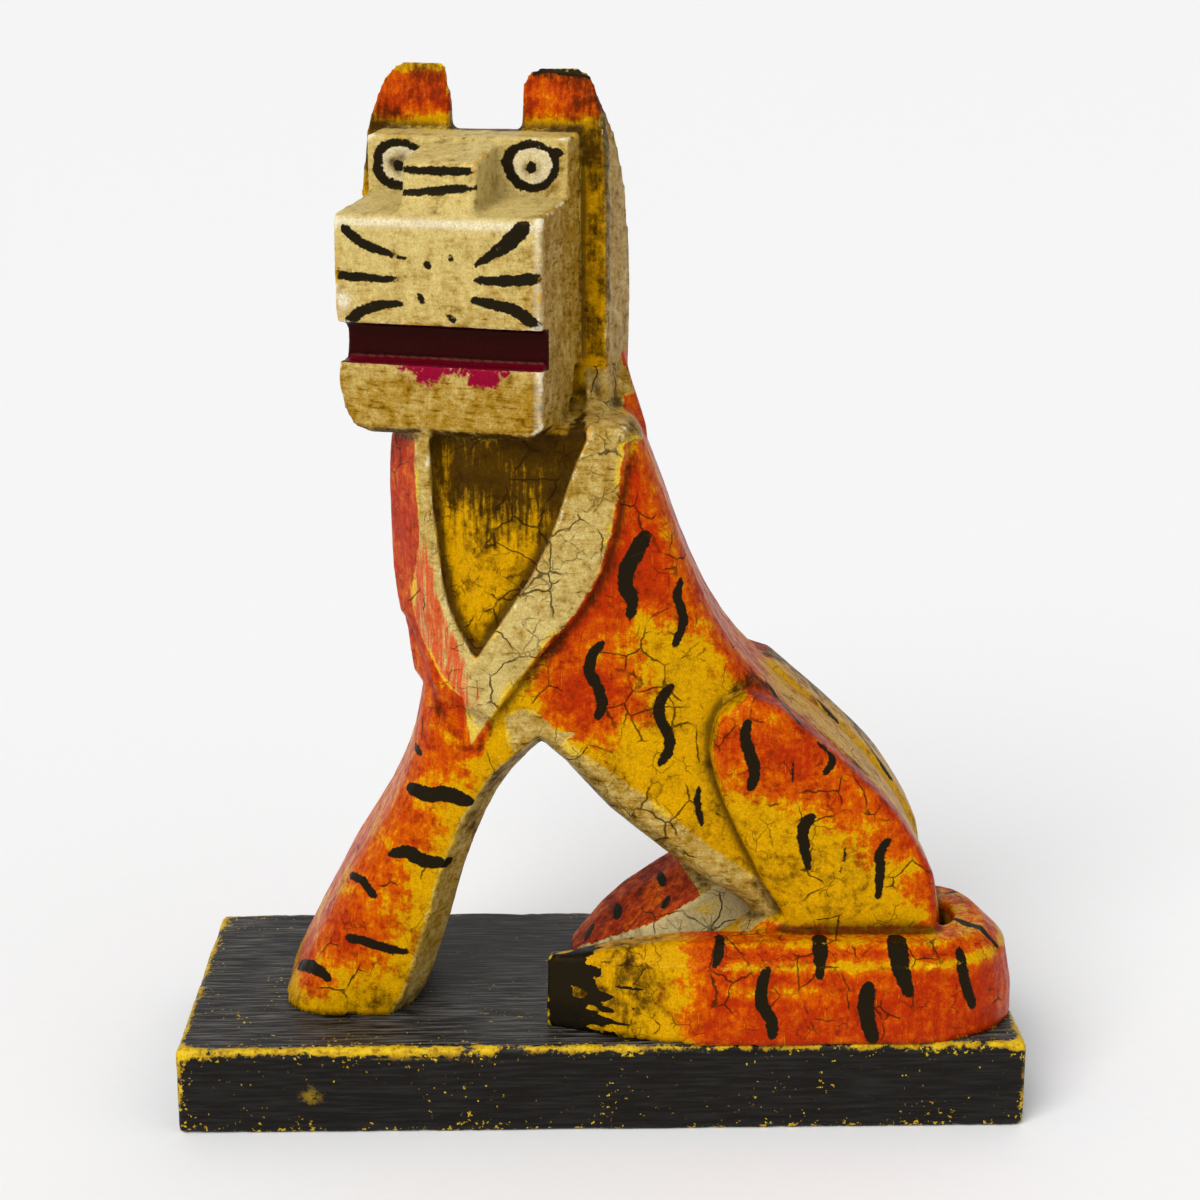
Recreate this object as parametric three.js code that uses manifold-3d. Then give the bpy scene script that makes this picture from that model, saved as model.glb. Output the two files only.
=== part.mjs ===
import * as THREE from 'three';
import { mergeVertices } from 'three/addons/utils/BufferGeometryUtils.js';
import Module from 'manifold-3d';

// A seated wooden tiger, carved from one block and glued to a rectangular plinth.
// Millimetres, +Z up. The origin is the centre of the plinth's underside.
// The body runs along X with its chest towards -X, and its near side faces -Y.

// Plinth
const PLINTH_LENGTH = 210;
const PLINTH_DEPTH = 90.4;
const PLINTH_HEIGHT = 22.6;
const PLINTH_WORN_EDGE = 0.8;
const GLUE_GAP = 0.3;

// Whole figure, from the plinth's top to the tip of the left ear
const FIGURE_HEIGHT = 234.9;

// Body
const TRUNK_HALF_WIDTH = 23.5;
const HAUNCH_HALF_WIDTH = 26.5;
const THIGH_HALF_WIDTH = 31.5;
const THIGH_BEVEL = 3.2;
const FAR_THIGH_REACH = 1.5;
const FORELEG_HALF_WIDTH = 25.4;

// Bib: a raised chevron on the chest round a sunk triangle
const BIB_PROUD = 2.2;
const BIB_SUNK = 2.2;

// Head, in its own turned frame: t across the face, n forwards, z up
const HEAD_TURN = THREE.MathUtils.degToRad(20);
const HEAD_AXIS_X = -30;
const FACE_LEFT = -27.2;
const FACE_RIGHT = 25.7;
const SNOUT_FRONT = 24;
const EYE_PLANE = 5;
const RUFF_FRONT = -5;
const MOUTH_LOW = 165.2;
const MOUTH_HIGH = 174;
const MOUTH_DEPTH = 4.2;
const EAR_BASE = 218.9;
const EAR_HEIGHT = 16;
const EAR_INNER_THICKNESS = 3;
const BRIDGE_LEFT = -11.2;
const BRIDGE_RIGHT = 8;

// Tail lying along the plinth
const TAIL_HALF_WIDTH = 7.2;
const TAIL_RIDGE = 19.2;
const TAIL_TOP = 24;
const TAIL_FACET = 5;

const SHORTEST_EDGE = 0.2;
const THINNEST_TRIANGLE = 0.02;

// The figure's outlines are drawn with the ears' tips at earTip, and follow FIGURE_HEIGHT
const earTip = EAR_BASE + EAR_HEIGHT;
const figureScale = FIGURE_HEIGHT / earTip;
const figureFoot = PLINTH_HEIGHT + GLUE_GAP;
const wasm = await Module();
wasm.setup();

// A point of the figure, drawn in millimetres above the plinth's top
function at(x, y, z) {
  return new THREE.Vector3(x * figureScale, y * figureScale, z * figureScale + figureFoot);
}

function solid(geometry) {
  const bare = geometry.clone();
  bare.deleteAttribute('normal');
  bare.deleteAttribute('uv');
  const merged = mergeVertices(bare, 1e-4);
  return new wasm.Manifold(new wasm.Mesh({
    numProp: 3,
    vertProperties: new Float32Array(merged.attributes.position.array),
    triVerts: new Uint32Array(merged.index.array),
  }));
}

// Closed skin through rings of points, all with the same number of points
function loft(rings) {
  const count = rings[0].length;
  const points = rings.flat();
  const index = [];
  for (let r = 0; r + 1 < rings.length; r += 1) {
    for (let k = 0; k < count; k += 1) {
      const a = r * count + k;
      const b = r * count + (k + 1) % count;
      index.push(a, b, b + count, a, b + count, a + count);
    }
  }
  for (const [ring, flip] of [[0, true], [rings.length - 1, false]]) {
    const centre = points.length;
    const middle = new THREE.Vector3();
    rings[ring].forEach((point) => middle.addScaledVector(point, 1 / count));
    points.push(middle);
    for (let k = 0; k < count; k += 1) {
      const a = ring * count + k;
      const b = ring * count + (k + 1) % count;
      index.push(centre, flip ? b : a, flip ? a : b);
    }
  }
  const geometry = new THREE.BufferGeometry().setFromPoints(points);
  geometry.setIndex(index);
  return solid(signedVolume(points, index) < 0 ? reversed(geometry) : geometry);
}

function signedVolume(points, index) {
  let volume = 0;
  for (let i = 0; i < index.length; i += 3) {
    const cross = points[index[i]].clone().cross(points[index[i + 1]]);
    volume += cross.dot(points[index[i + 2]]);
  }
  return volume;
}

function reversed(geometry) {
  geometry.setIndex(Array.from(geometry.index.array).reverse());
  return geometry;
}

// Smooth values between rows of stations, as [position, value, value, ...]
function stations(rows, steps) {
  const result = [];
  for (let k = 0; k <= steps; k += 1) {
    const place = (k / steps) * (rows.length - 1);
    const i = Math.min(Math.floor(place), rows.length - 2);
    const f = place - i;
    const before = rows[Math.max(i - 1, 0)];
    const after = rows[Math.min(i + 2, rows.length - 1)];
    result.push(rows[i].map((value, c) => {
      const end = rows[i + 1][c];
      const slope0 = (end - before[c]) / 2;
      const slope1 = (after[c] - value) / 2;
      const cubic = 2 * value - 2 * end + slope0 + slope1;
      const square = -3 * value + 3 * end - 2 * slope0 - slope1;
      return ((cubic * f + square) * f + slope0) * f + value;
    }));
  }
  return result;
}

// Block seen along one axis: a drawn outline pushed from one depth to another
function slab(shape, near, far, place, bevel = 0, curveSegments = 3) {
  const geometry = new THREE.ExtrudeGeometry(shape, {
    depth: far - near - 2 * bevel,
    bevelEnabled: bevel > 0,
    bevelThickness: bevel,
    bevelSize: bevel,
    bevelOffset: -bevel,
    bevelSegments: 3,
    curveSegments,
  });
  geometry.translate(0, 0, near + bevel);
  const position = geometry.attributes.position;
  for (let i = 0; i < position.count; i += 1) {
    const moved = place(position.getX(i), position.getY(i), position.getZ(i));
    position.setXYZ(i, moved.x, moved.y, moved.z);
  }
  return solid(geometry);
}

function polygon(points) {
  return new THREE.Shape(points.map(([u, v]) => new THREE.Vector2(u, v)));
}

// Side view of the body: u is X, v is height, depth runs towards -Y
const sideView = (u, v, depth) => at(u, -depth, v);
// Front view of the head: u is t, v is height, depth is n
const headFront = (u, v, depth) => headPoint(u, depth, v);
// The head from above: u is t, v runs towards -n, depth is height
const headPlan = (u, v, depth) => headPoint(u, -v, depth);
// Side view of the head: u is n, v is height, depth runs towards -t
const headSide = (u, v, depth) => headPoint(-depth, u, v);

function headPoint(t, n, z) {
  const x = HEAD_AXIS_X + t * Math.cos(HEAD_TURN) - n * Math.sin(HEAD_TURN);
  const y = -t * Math.sin(HEAD_TURN) - n * Math.cos(HEAD_TURN);
  return at(x, y, z);
}

// Trunk from neck to rump. Each row: chest or belly point, spine point, half width,
// then how far the front and back corners are cut along and across the section.
const TRUNK_ROWS = [
  [-38, 160, -4, 160, 5, 2, 2, 2, 2],
  [-42, 153, 2, 153, 8, 4, 4, 2, 2],
  [-49.2, 149.6, 8.2, 150.6, 22.6, 18, 17, 4.5, 6],
  [-51.2, 142, 11.6, 144, TRUNK_HALF_WIDTH, 20, 19, 4.5, 6],
  [-51.4, 128, 17.2, 129, TRUNK_HALF_WIDTH, 20, 19, 4.5, 6],
  [-50.8, 112, 23.6, 112, TRUNK_HALF_WIDTH, 20, 19, 4.5, 6],
  [-48.2, 96, 32.8, 94.8, TRUNK_HALF_WIDTH, 18, 17, 4.5, 6],
  [-43.4, 82, 46.4, 80, TRUNK_HALF_WIDTH, 12, 12, 4.5, 6],
  [-16, 71, 59.6, 68.8, 24.5, 6.5, 7, 5, 6],
  [2, 53, 71, 57, 25.5, 6.5, 7, 5, 7],
  [20.8, 37.6, 80.6, 43, HAUNCH_HALF_WIDTH, 6.5, 7, 6, 8],
  [37, 26.4, 86, 29, HAUNCH_HALF_WIDTH, 6, 7, 6, 9],
  [43, 12, 87.4, 14, HAUNCH_HALF_WIDTH, 5, 6, 6, 9],
  [44, 0, 86, 0, HAUNCH_HALF_WIDTH, 5, 6, 6, 9],
];
const TRUNK_STEPS = 39;
const FRONT_SHARE = 0.25;
const CORNER_FULLNESS = 0.12;

function cornerCut(s, y, along, across, inwards) {
  const bulge = 0.5 + CORNER_FULLNESS;
  return [
    [s, y - across],
    [s + inwards * along * (1 - bulge), y - across * (1 - bulge)],
    [s + inwards * along, y],
  ];
}

function trunk(grown) {
  const rings = stations(TRUNK_ROWS, TRUNK_STEPS).map((row) => {
    const [frontX, frontZ, backX, backZ, half, frontCut, frontBevel, backCut, backBevel] = row;
    const length = Math.hypot(backX - frontX, backZ - frontZ);
    const along = [(backX - frontX) / length, (backZ - frontZ) / length];
    const side = [
      ...cornerCut(-grown * FRONT_SHARE, half + grown, frontCut, frontBevel, 1),
      ...cornerCut(length, half + grown, backCut, backBevel, -1).reverse(),
    ];
    const ring = [...side, ...side.map(([s, y]) => [s, -y]).reverse()];
    return ring.map(([s, y]) => at(frontX + s * along[0], y, frontZ + s * along[1]));
  });
  return loft(rings);
}

// Foreleg: both front legs in one block. Each row: height, front X, back X, half width
const FORELEG_ROWS = [
  [0, -81.4, -47.6, FORELEG_HALF_WIDTH],
  [5, -79.3, -44.2, FORELEG_HALF_WIDTH],
  [20, -71.8, -39, 25.2],
  [36, -63.3, -34.6, 25],
  [52, -53.6, -28.2, 24.6],
  [64, -48.3, -20, 24.2],
  [74, -46.1, -8.6, 23.8],
  [86, -44, 2, 22.8],
];
const FORELEG_FRONT_ROUND = 13;
const FORELEG_BACK_CUT = 6;
const FORELEG_BACK_BEVEL = 9;

function foreleg() {
  const rings = stations(FORELEG_ROWS, 16).map(([z, front, back, half]) => {
    const side = [];
    for (let k = 0; k <= 4; k += 1) {
      const angle = (k / 4) * (Math.PI / 2);
      side.push([
        front + FORELEG_FRONT_ROUND * (1 - Math.sin(angle)),
        half - FORELEG_FRONT_ROUND * (1 - Math.cos(angle)),
      ]);
    }
    side.reverse();
    const near = [
      ...side.map(([x, y]) => [x, y]),
      [back - FORELEG_BACK_CUT, half],
      [back, half - FORELEG_BACK_BEVEL],
    ];
    const ring = [...near, ...near.map(([x, y]) => [x, -y]).reverse()];
    return ring.map(([x, y]) => at(x, y, z));
  });
  return loft(rings);
}

// Thigh, standing a little proud of the haunch. The far one reaches further back.
function thighShape(backReach) {
  const shape = new THREE.Shape();
  shape.moveTo(36.9, 85);
  shape.splineThru([[29, 79.7], [26.9, 70], [29.8, 58.5], [34.4, 48.1], [40.8, 35]]
    .map(([x, z]) => new THREE.Vector2(x, z)));
  shape.lineTo(45.4, 28);
  shape.lineTo(47, 0);
  shape.lineTo(84.4 + backReach, 0);
  shape.lineTo(84.6 + backReach, 24);
  shape.splineThru([[83.6, 36], [80.8, 42.7], [71.8, 56], [57.1, 70.4], [44.5, 81.5]]
    .map(([x, z]) => new THREE.Vector2(x + backReach, z + backReach / 3)));
  shape.closePath();
  return shape;
}

function thighs() {
  const near = slab(thighShape(0), 8, THIGH_HALF_WIDTH, sideView, THIGH_BEVEL);
  const far = slab(thighShape(FAR_THIGH_REACH), -THIGH_HALF_WIDTH, -8, sideView, THIGH_BEVEL);
  return near.add(far);
}

// Hind feet, wedges that reach forwards under the belly, the far one further.
// Each row: X, inner distance from the middle, inner height, outer height, outer distance
const NEAR_FOOT_ROWS = [
  [6, 17.5, 1.2, 1.8, 27],
  [9, 16, 3.4, 4.2, 28.5],
  [20, 14, 10.6, 11.6, 29.5],
  [32.5, 12, 18, 19.7, 30],
  [38.3, 12, 22, 24, 30],
  [48, 12, 28, 30, 30],
];
const FAR_FOOT_ROWS = [
  [-7, 13, 1.5, 2.5, 22],
  [-4, 10.5, 3.4, 5.6, 25],
  [0.6, 7, 6, 10.6, 27],
  [7, 3.5, 9.6, 16.4, 28],
  [13.6, 0, 13.2, 20.8, 28.5],
  [22, -2, 19, 26.2, 28.5],
  [31, -2, 25, 31.4, 28],
  [46, -2, 28, 36, 27],
];

function hindFoot(rows, side) {
  const rings = rows.map(([x, innerY, innerZ, outerZ, outerY]) => [
    at(x, side * innerY, 0),
    at(x, side * innerY, innerZ),
    at(x, side * (innerY + (outerY - innerY) * 0.55), innerZ + (outerZ - innerZ) * 0.82),
    at(x, side * (outerY - 3), outerZ),
    at(x, side * outerY, outerZ - Math.min(2, outerZ / 4)),
    at(x, side * (outerY + 0.5), 0),
  ]);
  return loft(rings);
}

// Tail: from the far side of the rump, round the back corner and along the front edge
const TAIL_PATH = [
  [72, 2.5], [83, 3], [90.4, 0.4], [94.8, -8], [96.4, -19], [92.8, -29.8], [80, -35.8],
  [62, -36.5], [42, -36.5], [22, -36], [8, -33.2], [-4, -30.4], [-13, -28.2],
];
// Rows at even steps along it: half width, ridge height, top height, facet width
const TAIL_ROWS = [
  [TAIL_HALF_WIDTH, TAIL_RIDGE - 1.6, TAIL_TOP - 1.6, TAIL_FACET],
  [TAIL_HALF_WIDTH, TAIL_RIDGE - 1.4, TAIL_TOP - 1.2, TAIL_FACET],
  [TAIL_HALF_WIDTH - 0.8, TAIL_RIDGE - 1.2, TAIL_TOP, TAIL_FACET + 1],
  [TAIL_HALF_WIDTH, TAIL_RIDGE, TAIL_TOP, TAIL_FACET],
  [TAIL_HALF_WIDTH, TAIL_RIDGE, TAIL_TOP, TAIL_FACET],
  [TAIL_HALF_WIDTH, TAIL_RIDGE, TAIL_TOP, TAIL_FACET],
  [TAIL_HALF_WIDTH, TAIL_RIDGE, TAIL_TOP, TAIL_FACET],
  [6.6, TAIL_RIDGE, TAIL_TOP, TAIL_FACET],
  [5, TAIL_RIDGE, TAIL_TOP - 2.5, 2.6],
  [2.4, TAIL_RIDGE - 2, TAIL_TOP - 6.5, 0.8],
];
const TAIL_STEPS = 46;
const TAIL_SWELL = 2;

function tail() {
  const path = new THREE.CatmullRomCurve3(TAIL_PATH.map(([x, y]) => new THREE.Vector3(x, y, 0)));
  const rows = stations(TAIL_ROWS, TAIL_STEPS);
  const rings = rows.map(([half, ridge, top, facet], k) => {
    const middle = path.getPointAt(k / TAIL_STEPS);
    const way = path.getTangentAt(k / TAIL_STEPS);
    const section = [
      [-half, 0],
      [half + TAIL_SWELL, 0],
      [half + TAIL_SWELL, ridge * 0.4],
      [half, ridge],
      [half - facet, top],
      [-half + 1, top],
      [-half, top - 1],
    ];
    return section.map(([out, z]) => at(middle.x - way.y * out, middle.y + way.x * out, z));
  });
  return loft(rings);
}

// Nape: the back of the neck, narrowing as it rises behind the ruff.
// Each row: height, front X, back X, near Y, far Y
const NAPE_ROWS = [
  [136, -44, 13, -3, 22],
  [146, -43, 12, -2, 22.4],
  [155, -40, 9.2, 0, 21.8],
  [164, -36, 6.6, 2, 20],
  [174, -30, 2.4, 5, 17],
  [182, -26, -3, 7, 14],
];
const NAPE_CORNER = 3.5;

function nape() {
  const cut = NAPE_CORNER;
  const rings = NAPE_ROWS.map(([z, front, back, near, far]) => [
    [front + cut, near], [back - cut, near], [back, near + cut], [back, far - cut],
    [back - cut, far], [front + cut, far], [front, far - cut], [front, near + cut],
  ].map(([x, y]) => at(x, y, z)));
  return loft(rings);
}

// Low floor of the pocket between the rump and the tail
const POCKET_FLOOR = 12;

function pocketFloor() {
  const outline = polygon([[80, 0], [95, 0], [95, POCKET_FLOOR], [80, POCKET_FLOOR]]);
  return slab(outline, -6, 22, sideView);
}

// Raised bib: everything of a slightly larger trunk that lies inside the chevron's outline
function bibOutline() {
  const shape = new THREE.Shape();
  shape.moveTo(-70, 170);
  shape.lineTo(-70, 118);
  shape.lineTo(-47.5, 99);
  shape.splineThru([[-42.8, 88.4], [-38.8, 79.4], [-32, 69.5]]
    .map(([x, z]) => new THREE.Vector2(x, z)));
  shape.splineThru([
    [-23.6, 82.4], [-14.4, 94.5], [-5.6, 104.3], [0.3, 114.6], [3.4, 125.5], [5.2, 136],
    [7.2, 154],
  ].map(([x, z]) => new THREE.Vector2(x, z)));
  shape.lineTo(7.2, 170);
  shape.closePath();
  return shape;
}

function bibTriangle() {
  const shape = new THREE.Shape();
  shape.moveTo(-41.4, 165);
  shape.splineThru([[-40.8, 134], [-39.8, 123.2], [-38, 109], [-35.4, 101.5], [-30.6, 93]]
    .map(([x, z]) => new THREE.Vector2(x, z)));
  shape.splineThru([[-23.4, 103.6], [-17.2, 113.2], [-11.3, 125.4], [-7.2, 138.4], [-3.5, 147.2]]
    .map(([x, z]) => new THREE.Vector2(x, z)));
  shape.lineTo(-3.5, 165);
  shape.closePath();
  return shape;
}

function chest() {
  const raised = trunk(BIB_PROUD).intersect(slab(bibOutline(), -60, 60, sideView));
  const sunk = slab(bibTriangle(), 0, 60, sideView).subtract(trunk(-BIB_SUNK));
  return trunk(0).add(raised).subtract(sunk);
}

// Head block: side profile crossed with front outline, with a mouth slot from side to side
function headBlock() {
  const profile = polygon([
    [-8, EAR_BASE + 0.2], [RUFF_FRONT, EAR_BASE + 0.2], [EYE_PLANE, 217.7],
    [EYE_PLANE, 204], [SNOUT_FRONT - 1, 200.4], [SNOUT_FRONT, 199.4],
    [SNOUT_FRONT, 149.4], [SNOUT_FRONT - 2.4, 147.4], [8, 148.4],
    [3.6, 152.6], [0.6, 156.8], [-1, 163], [-8, 163],
  ]);
  const outline = new THREE.Shape();
  outline.moveTo(FACE_LEFT + 0.8, 230);
  outline.lineTo(FACE_LEFT + 0.8, 204);
  outline.lineTo(FACE_LEFT, 200);
  outline.lineTo(FACE_LEFT, 176);
  outline.quadraticCurveTo(FACE_LEFT + 0.2, 173.4, FACE_LEFT + 1.4, 172);
  outline.lineTo(FACE_LEFT + 0.4, 160);
  outline.quadraticCurveTo(FACE_LEFT + 1.2, 148.6, FACE_LEFT + 8, 147.4);
  outline.lineTo(FACE_RIGHT - 5, 146.8);
  outline.lineTo(FACE_RIGHT, 151);
  outline.lineTo(FACE_RIGHT, 230);
  outline.closePath();
  const block = slab(profile, -40, 40, headSide).intersect(slab(outline, -10, 40, headFront));
  const slot = polygon([
    [SNOUT_FRONT - MOUTH_DEPTH, MOUTH_LOW], [40, MOUTH_LOW],
    [40, MOUTH_HIGH], [SNOUT_FRONT - MOUTH_DEPTH, MOUTH_HIGH],
  ]);
  return block.subtract(slab(slot, -40, 40, headSide));
}

// Bridge of the nose, easing out to the front of the snout
function noseBridge() {
  const profile = new THREE.Shape();
  profile.moveTo(0, 190);
  profile.lineTo(0, 218.3);
  profile.lineTo(20, 212.4);
  profile.splineThru([[19.7, 207.6], [20.4, 204], [SNOUT_FRONT - 1, 200.4]]
    .map(([n, z]) => new THREE.Vector2(n, z)));
  profile.lineTo(SNOUT_FRONT - 2, 190);
  profile.closePath();
  return slab(profile, -BRIDGE_RIGHT, -BRIDGE_LEFT, headSide);
}

// Ruff with the ears: a thick plate behind the face, round at the back of the head
function ruff() {
  const outline = new THREE.Shape();
  outline.moveTo(-16, 146);
  outline.lineTo(-24, 153);
  outline.quadraticCurveTo(-32, 160, -32.4, 172);
  outline.lineTo(-32.7, 204);
  outline.lineTo(-30.4, EAR_BASE + 1);
  outline.quadraticCurveTo(-28, earTip - 6, -24.8, earTip - 2.3);
  outline.quadraticCurveTo(-22.6, earTip, -20.5, earTip);
  outline.lineTo(-12, earTip);
  outline.quadraticCurveTo(-9.8, earTip, -9.4, earTip - 3.9);
  outline.lineTo(-8.3, EAR_BASE);
  outline.lineTo(9.6, EAR_BASE);
  outline.lineTo(10.3, earTip - 5.6);
  outline.quadraticCurveTo(11.2, earTip - 1.7, 14.4, earTip - 1.3);
  outline.lineTo(24, earTip - 1.1);
  outline.quadraticCurveTo(26.8, earTip - 1.3, 28.2, earTip - 4.5);
  outline.quadraticCurveTo(30.8, earTip - 11.5, 31.8, 214);
  outline.lineTo(32.2, 158);
  outline.lineTo(33.4, 146);
  outline.closePath();
  const profile = new THREE.Shape();
  profile.moveTo(RUFF_FRONT, 140);
  profile.lineTo(RUFF_FRONT, earTip - 10);
  profile.lineTo(RUFF_FRONT - 1.6, earTip + 1);
  profile.lineTo(RUFF_FRONT - 2.6, earTip + 1);
  profile.splineThru([
    [-7.8, earTip - 7], [-13.4, EAR_BASE - 0.5], [-20.6, 203], [-24.6, 182], [-22.4, 160],
    [-16, 142],
  ].map(([n, z]) => new THREE.Vector2(n, z)));
  profile.closePath();
  const plate = slab(outline, -40, RUFF_FRONT, headFront, 0, 5)
    .intersect(slab(profile, -50, 50, headSide));
  return plate.subtract(behindEars());
}

// The ears are thin on their inner sides: the back of each is cut away slantwise
function behindEars() {
  const inner = EAR_INNER_THICKNESS - RUFF_FRONT;
  const plan = polygon([
    [33, 45], [33, 21], [10, inner], [-8, inner], [-33, 21], [-33, 45],
  ]);
  return slab(plan, EAR_BASE, earTip + 5, headPlan);
}

// The joined surface without its slivers: each edge shorter than SHORTEST_EDGE
// shrinks to one point, where that leaves the surface closed
function withoutShortEdges(points, triangles) {
  const corners = points.map(() => new Set());
  triangles.forEach((triangle, t) => triangle.forEach((v) => corners[v].add(t)));
  const neighbours = (v) => new Set([...corners[v]].flatMap((t) => triangles[t]).filter((w) => w !== v));
  const edges = triangles.flatMap((triangle) => triangle.map((v, k) => [v, triangle[(k + 1) % 3]]));
  edges.filter(([a, b]) => a < b).forEach(([a, b]) => {
    const around = neighbours(a);
    const shared = [...neighbours(b)].filter((v) => around.has(v));
    const long = points[a].distanceTo(points[b]) > SHORTEST_EDGE;
    if (long || !around.has(b) || shared.length !== 2) return;
    for (const t of corners[a]) {
      if (triangles[t].includes(b)) {
        triangles[t].forEach((v) => v !== a && corners[v].delete(t));
        triangles[t] = null;
      } else {
        triangles[t] = triangles[t].map((v) => (v === a ? b : v));
        corners[b].add(t);
      }
    }
    corners[a].clear();
  });
  return triangles.filter((triangle) => triangle !== null);
}

// A corner that lies almost on the opposite edge splits the triangle beyond that edge instead
function withoutSlivers(points, triangles) {
  const key = (a, b) => `${a},${b}`;
  const owner = new Map();
  const own = (t) => triangles[t].forEach((v, k) => owner.set(key(v, triangles[t][(k + 1) % 3]), t));
  triangles.forEach((triangle, t) => own(t));
  const height = ([a, b, c]) => {
    const edge = points[b].clone().sub(points[a]);
    return edge.clone().cross(points[c].clone().sub(points[a])).length() / edge.length();
  };
  triangles.forEach((triangle, t) => {
    const turns = [0, 1, 2].map((k) => [triangle[k], triangle[(k + 1) % 3], triangle[(k + 2) % 3]]);
    const [a, b, c] = turns.reduce((low, turn) => (height(turn) < height(low) ? turn : low));
    const beyond = owner.get(key(b, a));
    const d = triangles[beyond].find((v) => v !== a && v !== b);
    if (height([a, b, c]) > THINNEST_TRIANGLE || owner.has(key(c, d)) || owner.has(key(d, c))) return;
    owner.delete(key(a, b));
    owner.delete(key(b, a));
    triangles[t] = [a, d, c];
    triangles[beyond] = [d, b, c];
    own(t);
    own(beyond);
  });
  return triangles;
}

function meshOf(manifold, name, material) {
  const { numProp, vertProperties, triVerts } = manifold.getMesh();
  const points = [];
  for (let i = 0; i < vertProperties.length; i += numProp) {
    points.push(new THREE.Vector3(...vertProperties.subarray(i, i + 3)));
  }
  const triangles = [];
  for (let i = 0; i < triVerts.length; i += 3) {
    triangles.push([...triVerts.subarray(i, i + 3)]);
  }
  const geometry = new THREE.BufferGeometry().setFromPoints(points);
  geometry.setIndex(withoutSlivers(points, withoutShortEdges(points, triangles)).flat());
  geometry.computeVertexNormals();
  const mesh = new THREE.Mesh(geometry, material);
  mesh.name = name;
  return mesh;
}

function tigerMesh() {
  const pieces = [
    foreleg(), thighs(), hindFoot(NEAR_FOOT_ROWS, -1), hindFoot(FAR_FOOT_ROWS, 1), tail(),
    pocketFloor(), nape(), headBlock(), noseBridge(), ruff(),
  ];
  const figure = pieces.reduce((sum, piece) => sum.add(piece), chest());
  const paintedWood = new THREE.MeshStandardMaterial({ color: 0xd4621c, roughness: 0.5, metalness: 0 });
  return meshOf(figure, 'tiger', paintedWood);
}

function plinthMesh() {
  const halfLength = PLINTH_LENGTH / 2;
  const halfDepth = PLINTH_DEPTH / 2;
  const outline = polygon([
    [-halfLength, -halfDepth], [halfLength, -halfDepth], [halfLength, halfDepth], [-halfLength, halfDepth],
  ]);
  const block = slab(
    outline, 0, PLINTH_HEIGHT, (x, y, z) => new THREE.Vector3(x, y, z), PLINTH_WORN_EDGE,
  );
  const blackPaint = new THREE.MeshStandardMaterial({ color: 0x1d1a17, roughness: 0.6, metalness: 0 });
  return meshOf(block, 'plinth', blackPaint);
}

const figurine = new THREE.Group();
figurine.add(plinthMesh());
figurine.add(tigerMesh());

export default figurine;
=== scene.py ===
import math

import bmesh
import bpy
import numpy as np
from bpy.props import FloatProperty, FloatVectorProperty, PointerProperty
from mathutils import Matrix, Vector, noise
from mathutils.bvhtree import BVHTree


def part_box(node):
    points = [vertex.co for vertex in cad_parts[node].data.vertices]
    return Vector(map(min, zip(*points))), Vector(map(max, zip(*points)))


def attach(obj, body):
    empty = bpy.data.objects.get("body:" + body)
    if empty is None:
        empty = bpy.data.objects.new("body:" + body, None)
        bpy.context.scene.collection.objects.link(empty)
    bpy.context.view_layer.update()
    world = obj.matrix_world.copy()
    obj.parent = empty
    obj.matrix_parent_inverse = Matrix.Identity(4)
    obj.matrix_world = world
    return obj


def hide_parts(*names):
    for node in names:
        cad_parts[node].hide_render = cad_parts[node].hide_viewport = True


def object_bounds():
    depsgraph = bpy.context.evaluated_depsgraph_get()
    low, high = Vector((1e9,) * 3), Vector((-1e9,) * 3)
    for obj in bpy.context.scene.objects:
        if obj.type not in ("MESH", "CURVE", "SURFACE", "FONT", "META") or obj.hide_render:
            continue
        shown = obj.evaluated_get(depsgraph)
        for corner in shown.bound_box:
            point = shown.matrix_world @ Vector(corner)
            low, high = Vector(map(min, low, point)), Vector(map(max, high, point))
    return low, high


bl_info = {
    "name": "Wooden Tiger Figurine",
    "version": (1, 0, 0),
    "blender": (4, 5, 0),
    "location": "3D View > Sidebar > Figurine",
    "description": "Carves and paints a wooden tiger on its plinth, round the packed model",
    "category": "Object",
}

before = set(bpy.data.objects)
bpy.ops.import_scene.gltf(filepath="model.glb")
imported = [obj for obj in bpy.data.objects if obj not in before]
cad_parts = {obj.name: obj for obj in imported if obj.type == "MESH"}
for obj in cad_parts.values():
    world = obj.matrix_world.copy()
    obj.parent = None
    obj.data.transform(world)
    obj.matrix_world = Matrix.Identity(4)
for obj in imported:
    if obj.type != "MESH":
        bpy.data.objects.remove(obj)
CAD_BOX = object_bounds()

MM = 0.001
TIGER = "tiger"
PLINTH = "plinth"
PLINTH_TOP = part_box(PLINTH)[1][2] / MM
FIGURE_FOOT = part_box(TIGER)[0][2] / MM

# The head's own frame, in millimetres: t across the face, n forwards
HEAD_AXIS_X = -30.0
HEAD_TURN = math.radians(20)
SNOUT_FRONT = 24.0
EYE_PLANE = 5.0
RUFF_FRONT = -5.0
JAW_LOW = 169.5
FACE_TOP = 242.6
MOUTH_LOW = 188.1
MOUTH_HIGH = 196.9
MOUTH_DEPTH = 4.2

# The heights of the nape and of the foreleg's top, and the Y that the bib reaches round the chest
NAPE = 186.0
FORELEG_TOP = 97.0
BIB_REACH = 6.0

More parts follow.
